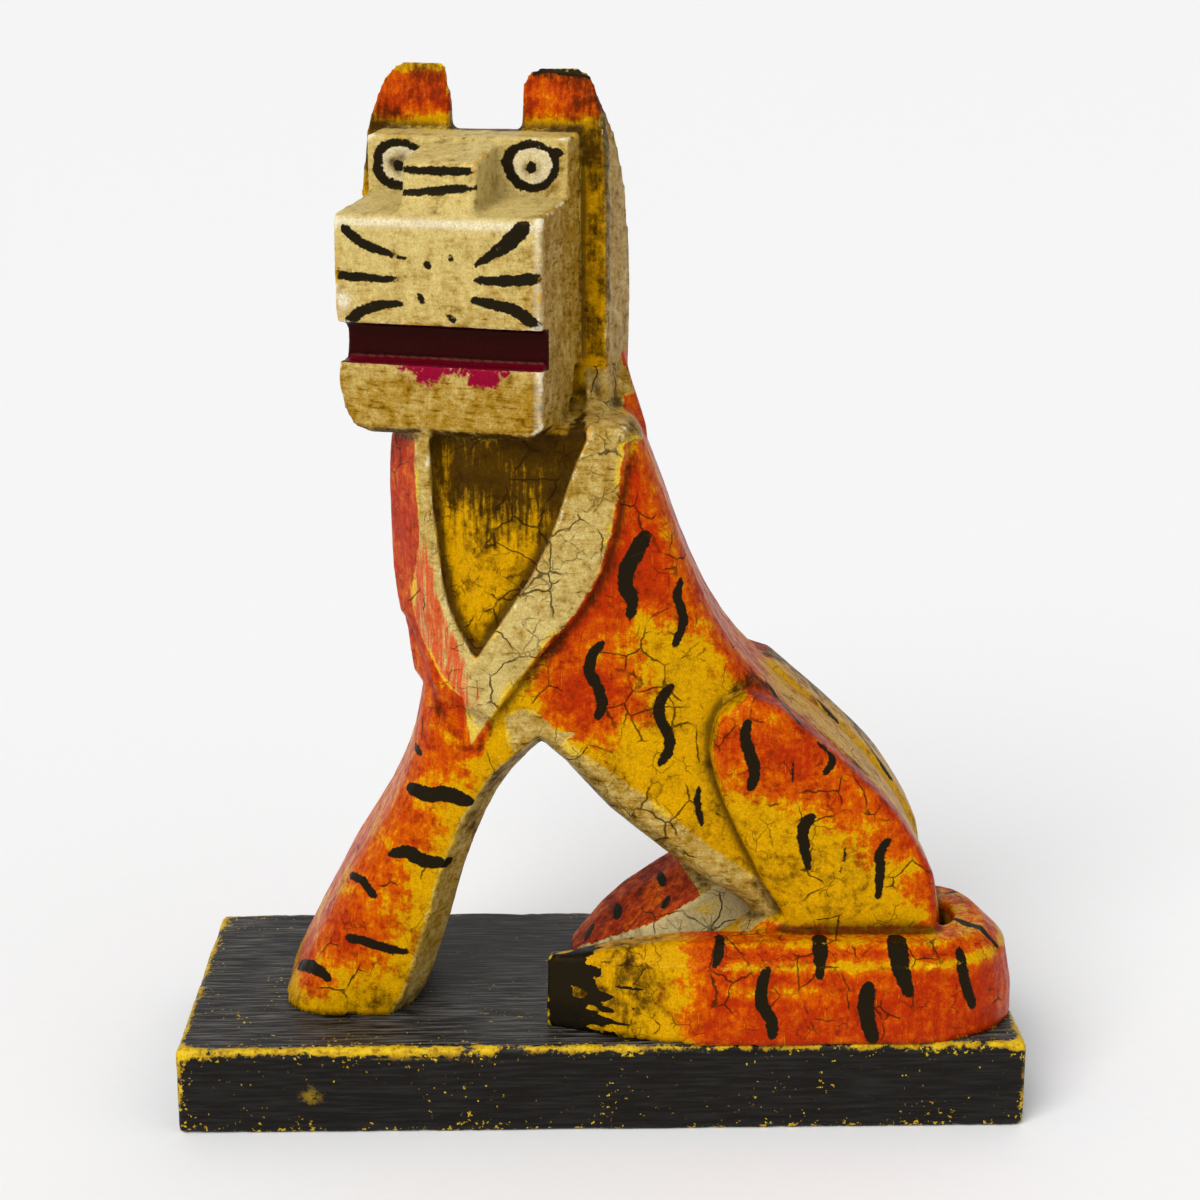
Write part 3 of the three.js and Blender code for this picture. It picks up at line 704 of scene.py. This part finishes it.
def brown_glaze_and_shade(points, normals):
    """Brown on each point, 0 to 1: antique glaze, and painted shade below the jaw, the collar and
    between the legs.
    """
    x, y, z = points.T
    t, n = head_place(points)
    throat = outline_distance(x, z, THROAT_OUTLINE)
    in_throat = (throat > 0) & (z < NAPE) & (y < BIB_REACH) & ~on_head_block(points)
    glaze_and_shade = np.where(in_throat, 0.16 + 0.8 * ramp(z + 0.25 * x, 130, 158), 0.0)
    channel = between(n, RUFF_FRONT - 3, RUFF_FRONT + 2) & between(z, 170, 243)
    glaze_and_shade = np.where(channel, 0.5 + 0.25 * ramp(z, 224, 236), glaze_and_shade)
    ears = 0.34 + 0.2 * ramp(z, 252, 256) + 0.25 * ramp(t, 20, 30)
    glaze_and_shade = np.where(z > 243, ears, glaze_and_shade)
    # Painted shade on the collar behind the jaw, fading upwards
    collar = between(z, 168, 187) & (n < RUFF_FRONT + 2) & (y < BIB_REACH)
    glaze_and_shade = np.where(collar, 0.62 * ramp(z, 180, 174) * ramp(t, 36, 29), glaze_and_shade)
    # Painted shade on the faces that look down under the jaw and the ruff
    below_jaw = between(z, 160, 174) & (normals[:, 2] < -0.5)
    glaze_and_shade = np.where(below_jaw, 0.8, glaze_and_shade)
    # Painted shade on the faces that look down between the legs and under the belly
    in_gap = between(x, -50, 20) & between(z, 40, 92) & (normals[:, 2] < -0.3)
    glaze_and_shade = np.where(in_gap, 0.4, glaze_and_shade)
    # Left along the borders of the bib and the thigh
    by_bib = peak(outline_distance(x, z, BIB_OUTLINE), -1.2, 2.2)
    by_bib = by_bib * (between(z, 92, 182) & (x > -45) & (y < BIB_REACH))
    by_thigh = peak(outline_distance(x, z, THIGH_OUTLINE), -1.4, 2.2)
    by_thigh = by_thigh * (between(z, 48, 112) & (x < 76))
    borders = 0.55 * np.maximum(by_bib, by_thigh) * (np.abs(y) > 18)
    # Darker towards the bottom of the front foot
    foot = 0.4 * ramp(z, 36, 24) * (x < -40)
    for eye_t, eye_z, pupil_t in EYES:
        halo = peak(np.hypot(t - eye_t - pupil_t, z - eye_z), 0, 3.0)
        glaze_and_shade = np.where(on_eye_plane(n), np.maximum(glaze_and_shade, 0.55 * halo), glaze_and_shade)
    far_foot = 0.38 * ((y > 1) & between(x, -9, 44) & (z < 60))
    tail_end = 0.42 * ramp(x, 26, 4) * ((y < -20) & (z < 48) & (x > -22))
    return np.maximum.reduce([glaze_and_shade, borders, foot, far_foot, tail_end])


def glaze_streaks(points):
    """How streaky the brown glaze was wiped, from 0 to 1."""
    throat = outline_distance(points[:, 0], points[:, 2], THROAT_OUTLINE)
    return np.where((throat > 0) & ~on_head_block(points), 0.85, 0.35)


def hollow_shade_and_patina(points, surface):
    """How dark each hollow is made, from 0 to 1: partly antique glaze, partly painted shade."""
    near = ramp(-surface.averaged(surface.bulge(6), 3), 0.03, 0.24)
    wide = 0.6 * ramp(-surface.averaged(surface.bulge(60), 8), 0.2, 1.6)
    shade_and_patina_in_hollows = np.maximum(near, wide)
    x, y, z = points.T
    inner_foot = between(y, -4, 12) & between(x, -8, 44) & (z < 60)
    back = (x > 30) & (np.abs(y) < 24) & (z > 50)
    # Less of this painted shade and glaze on the face block, the far foot's wall and the back
    return np.where(on_head_block(points) | inner_foot | back, 0.25 * shade_and_patina_in_hollows, shade_and_patina_in_hollows)


def extra_wear(points):
    """Where the paint is worn more than its edges alone would make it."""
    x, y, z = points.T
    ridges = 0.45 * peak(z, 42.1, 1.6) + 0.3 * peak(z, 46.6, 1.2)
    ridges = np.where(on_tail(points) & (y < -34), ridges, 0.0)
    rim = peak(outline_distance(x, z, THIGH_OUTLINE), 3.2, 1.2)
    rim = rim * ((np.abs(y) > 27) & (z > 46))
    # The feet keep their paint where they meet the plinth
    return np.maximum(ridges, 0.6 * rim) - ramp(z, 25.5, 24)


def mouth_paint(points):
    """Distance from the border of the painted mouth, above zero inside."""
    z = points[:, 2]
    t, n = head_place(points)
    deep = n - (SNOUT_FRONT - MOUTH_DEPTH - 1.0)
    slot = np.minimum(np.minimum(z - MOUTH_LOW + 0.5, MOUTH_HIGH + 0.4 - z), deep)
    return np.where(np.abs(t) < 29, slot, -FAR)


def crackle_places(points):
    """How freely the paint has cracked, from 0 to 1."""
    x, z = points[:, 0], points[:, 2]
    amount = np.full(len(points), 0.36)
    amount = np.where((x < -14) & (z < FORELEG_TOP), 0.26, amount)
    bib = outline_distance(x, z, BIB_OUTLINE)
    amount = np.where((bib > 0) & (z < 176) & (x > -36), 0.46, amount)
    return np.where((z > NAPE) | on_head_block(points), -0.3, amount)


def white_and_highlights(points, normals):
    """How much white shows, 0 to 1, round the pupils, on the snout's edges with painted
    highlights, and on pale spots.
    """
    z = points[:, 2]
    t, n = head_place(points)
    white = np.zeros(len(points))
    for eye_t, eye_z, pupil_t in EYES:
        across, up = t - eye_t, z - eye_z
        away = np.hypot(across / EYE_RING_ACROSS, up / EYE_RING_UP)
        stain = peak(np.hypot(across - pupil_t, up), 0, 2.6)
        white = np.maximum(white, ramp(away, 1.05, 0.9) * (0.75 - 0.75 * stain))
    white = np.where(on_eye_plane(n), white, 0.0)
    # Snout edges rubbed white and painted as highlights, and a pale spot beside the lowest whisker
    top = 0.95 * peak(z, 221.4, 1.0)
    side = 0.6 * peak(t, 24.8, 0.8)
    spot = 1.6 * np.exp(-((t + 25.2) ** 2 + (z - 202.5) ** 2) / 3.2)
    edges = np.where(n > 22, np.maximum.reduce([top, side, spot]), 0.0)
    # The far foot's wall is painted paler, as painted light where the thigh shades it
    return np.maximum.reduce([white, edges, 0.3 * on_foot_wall(points, normals)])


def plinth_rubs(points):
    """Where the front of the plinth is rubbed thin: one broad rub and a broken line."""
    x, y, z = points.T
    broad = peak(x, -72, 4.5) * peak(z, 10, 4.5)
    line = peak(z + 0.02 * (x + 40), 19.4, 0.9) * ramp(x, -70, -52) * ramp(x, -12, -30)
    rubs = np.where(y < -43, np.maximum(0.75 * broad, 0.7 * line), 0.0)
    # The lower edges and the corners keep their black
    return rubs - 2.6 * ramp(z, 8, 3) - 1.2 * ramp(np.abs(x), 99, 103) * ramp(z, 21, 19)


# Materials

class Recipe:
    """A material's nodes, put together step by step."""

    def __init__(self, name):
        self.material = bpy.data.materials.new(name)
        self.material.use_nodes = True
        self.tree = self.material.node_tree
        self.tree.nodes.clear()
        self.place = self.node("ShaderNodeTexCoord").outputs["Object"]

    def node(self, kind, **settings):
        made = self.tree.nodes.new(kind)
        for name, value in settings.items():
            setattr(made, name, value)
        return made

    def feed(self, socket, value):
        if isinstance(value, bpy.types.NodeSocket):
            self.tree.links.new(value, socket)
        elif socket.type == "RGBA":
            socket.default_value = (*value, 1.0)
        else:
            socket.default_value = value

    def kept(self, name):
        """A number stored for each point of the mesh."""
        return self.node("ShaderNodeAttribute", attribute_name=name).outputs["Fac"]

    def combined(self, operation, first, *others):
        """The values put together from left to right."""
        for other in others:
            made = self.node("ShaderNodeMath", operation=operation)
            self.feed(made.inputs[0], first)
            self.feed(made.inputs[1], other)
            first = made.outputs[0]
        return first

    def add(self, *values):
        return self.combined("ADD", *values)

    def times(self, *values):
        return self.combined("MULTIPLY", *values)

    def less(self, a, b):
        return self.combined("SUBTRACT", a, b)

    def most(self, a, b):
        return self.combined("MAXIMUM", a, b)

    def least(self, a, b):
        return self.combined("MINIMUM", a, b)

    def swing(self, values, amount):
        """Values round one half turned into values round zero, amount times as strong."""
        return self.times(self.less(values, 0.5), amount)

    def step(self, value, low, high, out_low=0.0, out_high=1.0):
        """out_low below low and out_high above high, smooth between."""
        made = self.node("ShaderNodeMapRange", interpolation_type="SMOOTHSTEP")
        for socket, given in zip(made.inputs, (value, low, high, out_low, out_high)):
            self.feed(socket, given)
        return made.outputs[0]

    def blend(self, share, a, b, way="MIX"):
        """Colour a turning into colour b."""
        made = self.node("ShaderNodeMix", data_type="RGBA", blend_type=way)
        self.feed(made.inputs["Factor"], share)
        self.feed(made.inputs["A"], a)
        self.feed(made.inputs["B"], b)
        return made.outputs["Result"]

    def stretched(self, scale, shift=(0.0, 0.0, 0.0)):
        """Places scaled along each axis, to make features longer one way."""
        made = self.node("ShaderNodeMapping")
        self.feed(made.inputs["Vector"], self.place)
        self.feed(made.inputs["Location"], shift)
        self.feed(made.inputs["Scale"], scale)
        return made.outputs[0]

    def upward(self):
        """How far the surface faces up, from -1 to 1."""
        facing = self.node("ShaderNodeSeparateXYZ")
        self.feed(facing.inputs[0], self.node("ShaderNodeNewGeometry").outputs["Normal"])
        return facing.outputs["Z"]

    def clouds(self, size, detail, roughness, where):
        """The outputs of a noise texture with features about size millimetres wide."""
        made = self.node("ShaderNodeTexNoise")
        self.feed(made.inputs["Vector"], where)
        self.feed(made.inputs["Scale"], 1 / (size * MM))
        self.feed(made.inputs["Detail"], detail)
        self.feed(made.inputs["Roughness"], roughness)
        return made.outputs

    def mottle(self, size, detail, roughness, where=None):
        """Random values round one half, with features about size millimetres wide."""
        return self.clouds(size, detail, roughness, where or self.place)["Fac"]

    def crackle(self, size, width, amount, seed):
        """1 in the cracks round cells of the given size, 0 elsewhere. Both lengths are in
        millimetres, and amount is the share of the cracks that have opened."""
        own = self.stretched((1, 1, 1), (seed, 0, 0))
        shift = self.node("ShaderNodeVectorMath", operation="MULTIPLY_ADD")
        self.feed(shift.inputs[0], self.clouds(size * 0.6, 3.0, 0.55, own)["Color"])
        self.feed(shift.inputs[1], (size * 0.4 * MM,) * 3)
        self.feed(shift.inputs[2], own)
        cells = self.node("ShaderNodeTexVoronoi", feature="DISTANCE_TO_EDGE")
        self.feed(cells.inputs["Vector"], shift.outputs[0])
        self.feed(cells.inputs["Scale"], 1 / (size * MM))
        opened = self.add(self.mottle(size * 1.5, 3.0, 0.55, own), self.times(amount, 0.42))
        share = width / size
        line = self.step(cells.outputs["Distance"], share * 0.35, share, 1.0, 0.0)
        return self.times(line, self.step(opened, 0.66, 0.74))

    def finish(self, colour, roughness, height, depth, shine, tint=(1.0, 1.0, 1.0)):
        surface = self.node("ShaderNodeBsdfPrincipled")
        bump = self.node("ShaderNodeBump")
        self.feed(bump.inputs["Strength"], 1.0)
        self.feed(bump.inputs["Distance"], depth * MM)
        self.feed(bump.inputs["Height"], height)
        self.feed(surface.inputs["Base Color"], colour)
        self.feed(surface.inputs["Roughness"], roughness)
        self.feed(surface.inputs["Specular IOR Level"], shine)
        self.feed(surface.inputs["Specular Tint"], tint)
        self.tree.links.new(bump.outputs[0], surface.inputs["Normal"])
        out = self.node("ShaderNodeOutputMaterial")
        self.tree.links.new(surface.outputs[0], out.inputs["Surface"])
        return self.material


def tiger_paint(paint):
    """Crackled, rubbed and varnished paint over wood."""
    r = Recipe("Crackled tiger paint")
    ragged = r.mottle(2.2, 5.0, 0.65)
    cloudy = r.mottle(9.0, 6.0, 0.62)
    dabs = r.mottle(2.6, 5.0, 0.7)
    specks = r.mottle(1.0, 4.0, 0.75)
    upright = r.mottle(1.0, 5.0, 0.6, r.stretched((1.0, 1.0, 0.1)))
    level = r.mottle(0.8, 4.0, 0.65, r.stretched((0.14, 0.3, 1.0)))
    scratches = r.mottle(0.5, 3.0, 0.6, r.stretched((1.0, 1.0, 0.07)))
    cracked = r.kept("crackle")
    wide_cracks = r.crackle(10.0, 0.25, cracked, 0.0)
    fine_cracks = r.crackle(4.6, 0.14, r.times(cracked, 0.85), 3.0)
    cracks = r.most(wide_cracks, r.times(fine_cracks, 0.6))
    edge = r.kept("edge")

    # Undercoat
    stained = r.add(r.swing(cloudy, 1.5), r.swing(dabs, 1.5))
    yellow = r.blend(r.step(stained, -0.12, 0.5), paint.yellow, paint.ochre)
    fine = r.mottle(0.5, 3.0, 0.7)
    soot = r.add(specks, r.swing(dabs, 0.6), r.swing(cloudy, 0.5))
    yellow = r.blend(r.times(r.step(soot, 0.54, 0.76), 0.7), yellow, paint.glaze_and_shade)

    # Red coat, dabbed on and rubbed thin
    thick = r.add(r.kept("red"), r.swing(cloudy, 1.5), r.swing(dabs, 1.5), r.swing(upright, 0.7))
    red = r.blend(r.step(thick, 0.55, 1.1), paint.orange, paint.red)
    red = r.blend(r.times(r.step(soot, 0.52, 0.76), 0.65), red, paint.glaze_and_shade)
    colour = r.blend(r.step(thick, 0.34, 0.66), yellow, red)
    scraped = r.times(r.step(scratches, 0.66, 0.72), 0.5)
    colour = r.blend(scraped, colour, paint.yellow)

    # Cream coat, tanned by age and by painted shade on the face block's sides
    aged_and_shaded = r.add(r.kept("aged_and_shaded"), r.swing(dabs, 1.6), r.swing(cloudy, 0.9), r.swing(level, 0.9))
    cream = r.blend(r.step(aged_and_shaded, 0.0, 1.0), paint.cream, paint.tan)
    cream = r.blend(r.times(r.step(soot, 0.54, 0.78), 0.65), cream, paint.glaze_and_shade)
    grimy = r.add(r.times(r.kept("aged_and_shaded"), 0.3), r.add(level, r.swing(dabs, 0.5)))
    cream = r.blend(r.times(r.step(grimy, 0.76, 0.92), 0.6), cream, paint.glaze_and_shade)
    # White round the pupils, painted highlights on the snout's edges and painted light on the far
    # foot's wall
    pale = r.add(r.kept("white"), r.swing(ragged, r.times(r.kept("white"), 1.6)))
    cream = r.blend(r.times(r.least(pale, 1.0), 0.75), cream, paint.ground_and_highlight)
    blush = r.add(r.kept("blush"), r.swing(upright, 1.9))
    cream = r.blend(r.times(r.step(blush, 0.35, 0.8), 0.85), cream, paint.blush)
    lip = r.add(r.kept("lip"), r.swing(ragged, 1.8))
    cream = r.blend(r.step(lip, 0.36, 0.62), cream, paint.magenta)
    border = r.add(r.kept("cream"), r.swing(ragged, 1.8))
    on_cream = r.step(border, -0.3, 0.3)
    fringe = r.times(on_cream, r.step(r.add(border, r.swing(cloudy, 14.0)), 0.9, -0.5))
    cream = r.blend(r.times(fringe, 0.6), cream, paint.edge_yellow)
    colour = r.blend(on_cream, colour, cream)

    # Mouth, one red painted lighter on its upward floor as painted light and darker at the back as
    # painted shade
    inside = r.add(r.kept("mouth"), r.swing(ragged, 0.6))
    in_mouth = r.step(inside, -0.1, 0.1)
    dry = r.less(1.0, in_mouth)
    maroon = r.blend(r.step(r.upward(), 0.2, 0.8), paint.maroon, paint.crimson)
    colour = r.blend(in_mouth, colour, maroon)

    # Brown glaze, wiped off the high places and left in the hollows, with painted shade in the
    # hollows and under the jaw
    streaked = r.times(r.swing(upright, 1.8), r.kept("streaks"))
    streaked = r.add(streaked, r.swing(cloudy, 1.3), r.swing(dabs, 0.8))
    coated = r.least(r.times(r.kept("glaze_and_shade"), 3.0), 1.0)
    glaze_and_shade = r.step(r.add(r.kept("glaze_and_shade"), r.times(streaked, coated)), 0.15, 0.85)
    glaze_and_shade = r.most(glaze_and_shade, r.times(r.kept("shade_and_patina_in_hollows"), 0.9))
    colour = r.blend(r.times(glaze_and_shade, dry, 0.94), colour, paint.glaze_and_shade)
    shade = r.step(fine, 0.3, 0.7, 0.8, 1.1)
    shade = r.times(shade, r.step(specks, 0.35, 0.65, 0.9, 1.05))
    colour = r.blend(1.0, colour, shade, "MULTIPLY")

    # Black brush marks, broken where the brush ran dry
    stroke = r.add(r.kept("black"), r.swing(ragged, 1.5), r.swing(specks, 0.9))
    in_stroke = r.step(stroke, 0.16, -0.16)
    dry_brush = r.step(r.add(dabs, r.swing(specks, 0.7)), 0.8, 0.7)
    in_stroke = r.times(in_stroke, r.add(r.times(dry_brush, 0.6), 0.4))
    colour = r.blend(in_stroke, colour, paint.black)

    # Edges rubbed through to the undercoat, and to the white ground under the cream
    rub = r.add(r.times(edge, 1.9), r.swing(ragged, 1.0), r.swing(cloudy, 0.6))
    rub = r.add(rub, r.times(r.kept("wear"), 0.36))
    worn = r.times(r.step(rub, 0.42, 0.62), dry)
    flecked = r.blend(r.step(cloudy, 0.52, 0.58), paint.ground_and_highlight, paint.yellow)
    bared = r.blend(on_cream, paint.edge_yellow, flecked)
    colour = r.blend(r.times(worn, 0.75), colour, bared)
    colour = r.blend(r.times(cracks, 0.82, dry), colour, paint.glaze_and_shade)

    height = r.add(r.times(dabs, 0.45), r.times(upright, 0.15), r.times(specks, 0.12))
    height = r.less(height, r.times(cracks, 0.55))
    height = r.add(height, r.times(in_stroke, 0.08))
    height = r.times(height, r.add(r.times(dry, 0.7), 0.3))
    roughness = r.step(dabs, 0.35, 0.7, 0.3, 0.5)
    roughness = r.less(roughness, r.times(in_mouth, 0.16))
    return r.finish(colour, roughness, height, 0.45, 0.1, AMBER_VARNISH)


def plinth_paint(paint):
    """Black paint over yellow, rubbed through along the edges."""
    r = Recipe("Rubbed plinth paint")
    grain = r.mottle(0.9, 5.0, 0.65, r.stretched((0.06, 1.0, 1.0)))
    ragged = r.mottle(2.0, 6.0, 0.7)
    specks = r.mottle(1.2, 3.0, 0.6)
    cloudy = r.mottle(14.0, 6.0, 0.65)
    edge = r.kept("edge")
    # Grey dust in the grain, most on the upward faces, which also stands for a painted sheen on
    # the top
    upper = r.step(r.upward(), 0.5, 0.9)
    dust_and_sheen = r.times(r.step(grain, 0.4, 0.7), r.add(0.1, r.times(upper, 0.9)))
    dusted_and_sheened = r.blend(dust_and_sheen, paint.plinth_black, paint.plinth_dust_and_sheen)
    rub = r.add(r.times(edge, 2.3), r.swing(ragged, 1.1), r.swing(cloudy, 1.0))
    rub = r.add(rub, r.times(r.kept("rub"), 0.12))
    worn = r.step(rub, 0.46, 0.64)
    knocked = r.add(specks, r.swing(cloudy, 0.5), r.times(edge, 0.5))
    knocked = r.step(knocked, 0.69, 0.74)
    rubbed = r.add(r.kept("rub"), r.swing(ragged, 1.4))
    rubbed = r.times(r.step(rubbed, 0.45, 1.0), 0.6)
    yellow = r.blend(r.step(ragged, 0.4, 0.7), paint.edge_yellow, paint.ochre)
    bare = r.most(r.times(r.most(worn, r.times(knocked, 0.85)), 0.9), rubbed)
    colour = r.blend(bare, dusted_and_sheened, yellow)
    height = r.add(r.times(grain, 0.4), r.times(ragged, 0.25))
    height = r.less(height, r.times(worn, 0.3))
    roughness = r.step(grain, 0.3, 0.7, 0.34, 0.5)
    return r.finish(colour, roughness, height, 0.35, 0.14)


def floor_paper():
    """Matt pale paper."""
    r = Recipe("Pale floor")
    fibre = r.mottle(4.0, 3.0, 0.5)
    colour = r.blend(fibre, (0.94, 0.94, 0.94), (0.97, 0.97, 0.97))
    return r.finish(colour, 0.85, fibre, 0.05, 0.1)


# Pieces

def worn_and_uneven(surface, carving, seed):
    """Carves soft hollows and knocks the edges off, always inwards."""
    surface.points = surface.averaged(surface.without_steps(surface.points, 5), 1)
    normals = surface.normals()
    edge = surface.bulge(6)
    hollows = 0.5 + 0.5 * np.clip(lumps(surface.points, HOLLOW_WIDTH, 3, seed) * 1.6, -1, 1)
    knocks = np.clip(lumps(surface.points, KNOCK_WIDTH, 3, seed + 1) * 2.2 - 0.35, 0, 1)
    depth = carving.unevenness / MM * hollows * 0.6
    depth += carving.chip_depth / MM * knocks * ramp(edge, 0.15, 0.6)
    surface.points -= normals * depth[:, None]
    surface.write()


def kept_in_cad_box(surface):
    """Points never reach past the CAD model's box."""
    low, high = np.array(CAD_BOX) / MM
    surface.points = np.clip(surface.points, low, high)
    surface.write()


class FIGURINE_OT_plinth(bpy.types.Operator):
    """Carve and paint the plinth"""

    bl_idname = "figurine.plinth"
    bl_label = "Plinth"

    def execute(self, context):
        carving = context.scene.figurine_carving
        piece = carved_copy(PLINTH, "worn_plinth", carving.plinth_grain)
        surface = Surface(piece.data)
        worn_and_uneven(surface, carving, seed=5)
        kept_in_cad_box(surface)
        surface.keep("edge", surface.averaged(surface.bulge(5), 3))
        surface.keep("rub", plinth_rubs(surface.points))
        piece.data.materials.append(plinth_paint(context.scene.figurine_paint))
        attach(piece, "root")
        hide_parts(PLINTH)
        return {"FINISHED"}


class FIGURINE_OT_tiger(bpy.types.Operator):
    """Carve and paint the tiger"""

    bl_idname = "figurine.tiger"
    bl_label = "Tiger"

    def execute(self, context):
        carving = context.scene.figurine_carving
        piece = carved_copy(TIGER, "painted_tiger", carving.tiger_grain)
        surface = Surface(piece.data)
        worn_and_uneven(surface, carving, seed=1)
        # The glue between the feet and the plinth
        feet = surface.points[:, 2] < FIGURE_FOOT + GLUE_REACH
        surface.points[feet, 2] = PLINTH_TOP
        kept_in_cad_box(surface)
        normals = surface.averaged(surface.normals(), 2)
        points = surface.points
        surface.keep("edge", surface.averaged(surface.bulge(6), 3))
        surface.keep("shade_and_patina_in_hollows", hollow_shade_and_patina(points, surface))
        surface.keep("wear", extra_wear(points))
        surface.keep("black", black_paint(points))
        surface.keep("white", white_and_highlights(points, normals))
        cream, aged_and_shaded = cream_paint(points, normals)
        surface.keep("cream", np.clip(cream, -BORDER_REACH, BORDER_REACH))
        surface.keep("aged_and_shaded", surface.averaged(aged_and_shaded, 3))
        surface.keep("blush", blush_paint(points))
        surface.keep("lip", lip_paint(points))
        surface.keep("crackle", surface.averaged(crackle_places(points), 3))
        surface.keep("red", surface.averaged(red_paint(points, normals), 3))
        surface.keep("glaze_and_shade", surface.averaged(brown_glaze_and_shade(points, normals), 2))
        surface.keep("streaks", glaze_streaks(points))
        mouth = mouth_paint(points)
        surface.keep("mouth", np.clip(mouth, -BORDER_REACH, BORDER_REACH))
        piece.data.materials.append(tiger_paint(context.scene.figurine_paint))
        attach(piece, "root")
        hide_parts(TIGER)
        return {"FINISHED"}


def soft_light(name, way, spread, power):
    """A wide soft light from a long way off, shining along way."""
    light = bpy.data.lights.new(name, "SUN")
    light.angle = math.radians(spread)
    light.energy = power
    lamp = bpy.data.objects.new(name, light)
    bpy.context.scene.collection.objects.link(lamp)
    lamp.rotation_mode = "QUATERNION"
    lamp.rotation_quaternion = Vector(way).to_track_quat("-Z", "Y")


class FIGURINE_OT_stage(bpy.types.Operator):
    """Add the floor, the soft light and the camera"""

    bl_idname = "figurine.stage"
    bl_label = "Floor, light and camera"

    def execute(self, context):
        stage = context.scene.figurine_stage
        half = stage.floor_size
        mesh = bpy.data.meshes.new("floor")
        mesh.from_pydata(
            [(-half, -half, 0), (half, -half, 0), (half, half, 0), (-half, half, 0)], [],
            [(0, 1, 2, 3)],
        )
        mesh.materials.append(floor_paper())
        floor = bpy.data.objects.new("floor", mesh)
        context.scene.collection.objects.link(floor)

        soft_light("key", (0.45, 0.75, -0.75), 40.0, stage.key_power)
        soft_light("fill", (-0.8, 0.6, -0.5), 60.0, stage.fill_power)
        soft_light("rim", (-0.2, -0.9, -0.9), 60.0, stage.fill_power)
        world = bpy.data.worlds.new("Even light")
        world.use_nodes = True
        sky = world.node_tree.nodes["Background"]
        sky.inputs["Color"].default_value = (1.0, 1.0, 1.0, 1.0)
        sky.inputs["Strength"].default_value = stage.sky_strength
        context.scene.world = world
        context.scene.view_settings.view_transform = "Standard"

        camera = bpy.data.objects.new("camera", bpy.data.cameras.new("camera"))
        camera.data.sensor_width = SENSOR
        camera.data.lens = LENS
        turned = Matrix(camera_axes()).transposed().to_4x4()
        camera.matrix_world = Matrix.Translation(CAMERA_PLACE * MM) @ turned
        context.scene.collection.objects.link(camera)
        context.scene.camera = camera
        return {"FINISHED"}


class FIGURINE_PT_panel(bpy.types.Panel):
    """The figurine's pieces, sizes and colours"""

    bl_idname = "FIGURINE_PT_panel"
    bl_label = "Wooden tiger figurine"
    bl_space_type = "VIEW_3D"
    bl_region_type = "UI"
    bl_category = "Figurine"

    def draw(self, context):
        for operator in OPERATORS:
            self.layout.operator(operator.bl_idname)
        for group in (
            context.scene.figurine_carving, context.scene.figurine_paint,
            context.scene.figurine_stage,
        ):
            box = self.layout.box()
            for name in group.__annotations__:
                box.prop(group, name)


GROUPS = (FigurineCarving, FigurinePaint, FigurineStage)
OPERATORS = (FIGURINE_OT_plinth, FIGURINE_OT_tiger, FIGURINE_OT_stage)


def register():
    for item in (*GROUPS, *OPERATORS, FIGURINE_PT_panel):
        bpy.utils.register_class(item)
    bpy.types.Scene.figurine_carving = PointerProperty(type=FigurineCarving)
    bpy.types.Scene.figurine_paint = PointerProperty(type=FigurinePaint)
    bpy.types.Scene.figurine_stage = PointerProperty(type=FigurineStage)


def unregister():
    for name in ("figurine_carving", "figurine_paint", "figurine_stage"):
        delattr(bpy.types.Scene, name)
    for item in reversed((*GROUPS, *OPERATORS, FIGURINE_PT_panel)):
        bpy.utils.unregister_class(item)


def main():
    register()
    bpy.ops.figurine.plinth()
    bpy.ops.figurine.tiger()
    bpy.ops.figurine.stage()


if __name__ == "__main__":
    main()
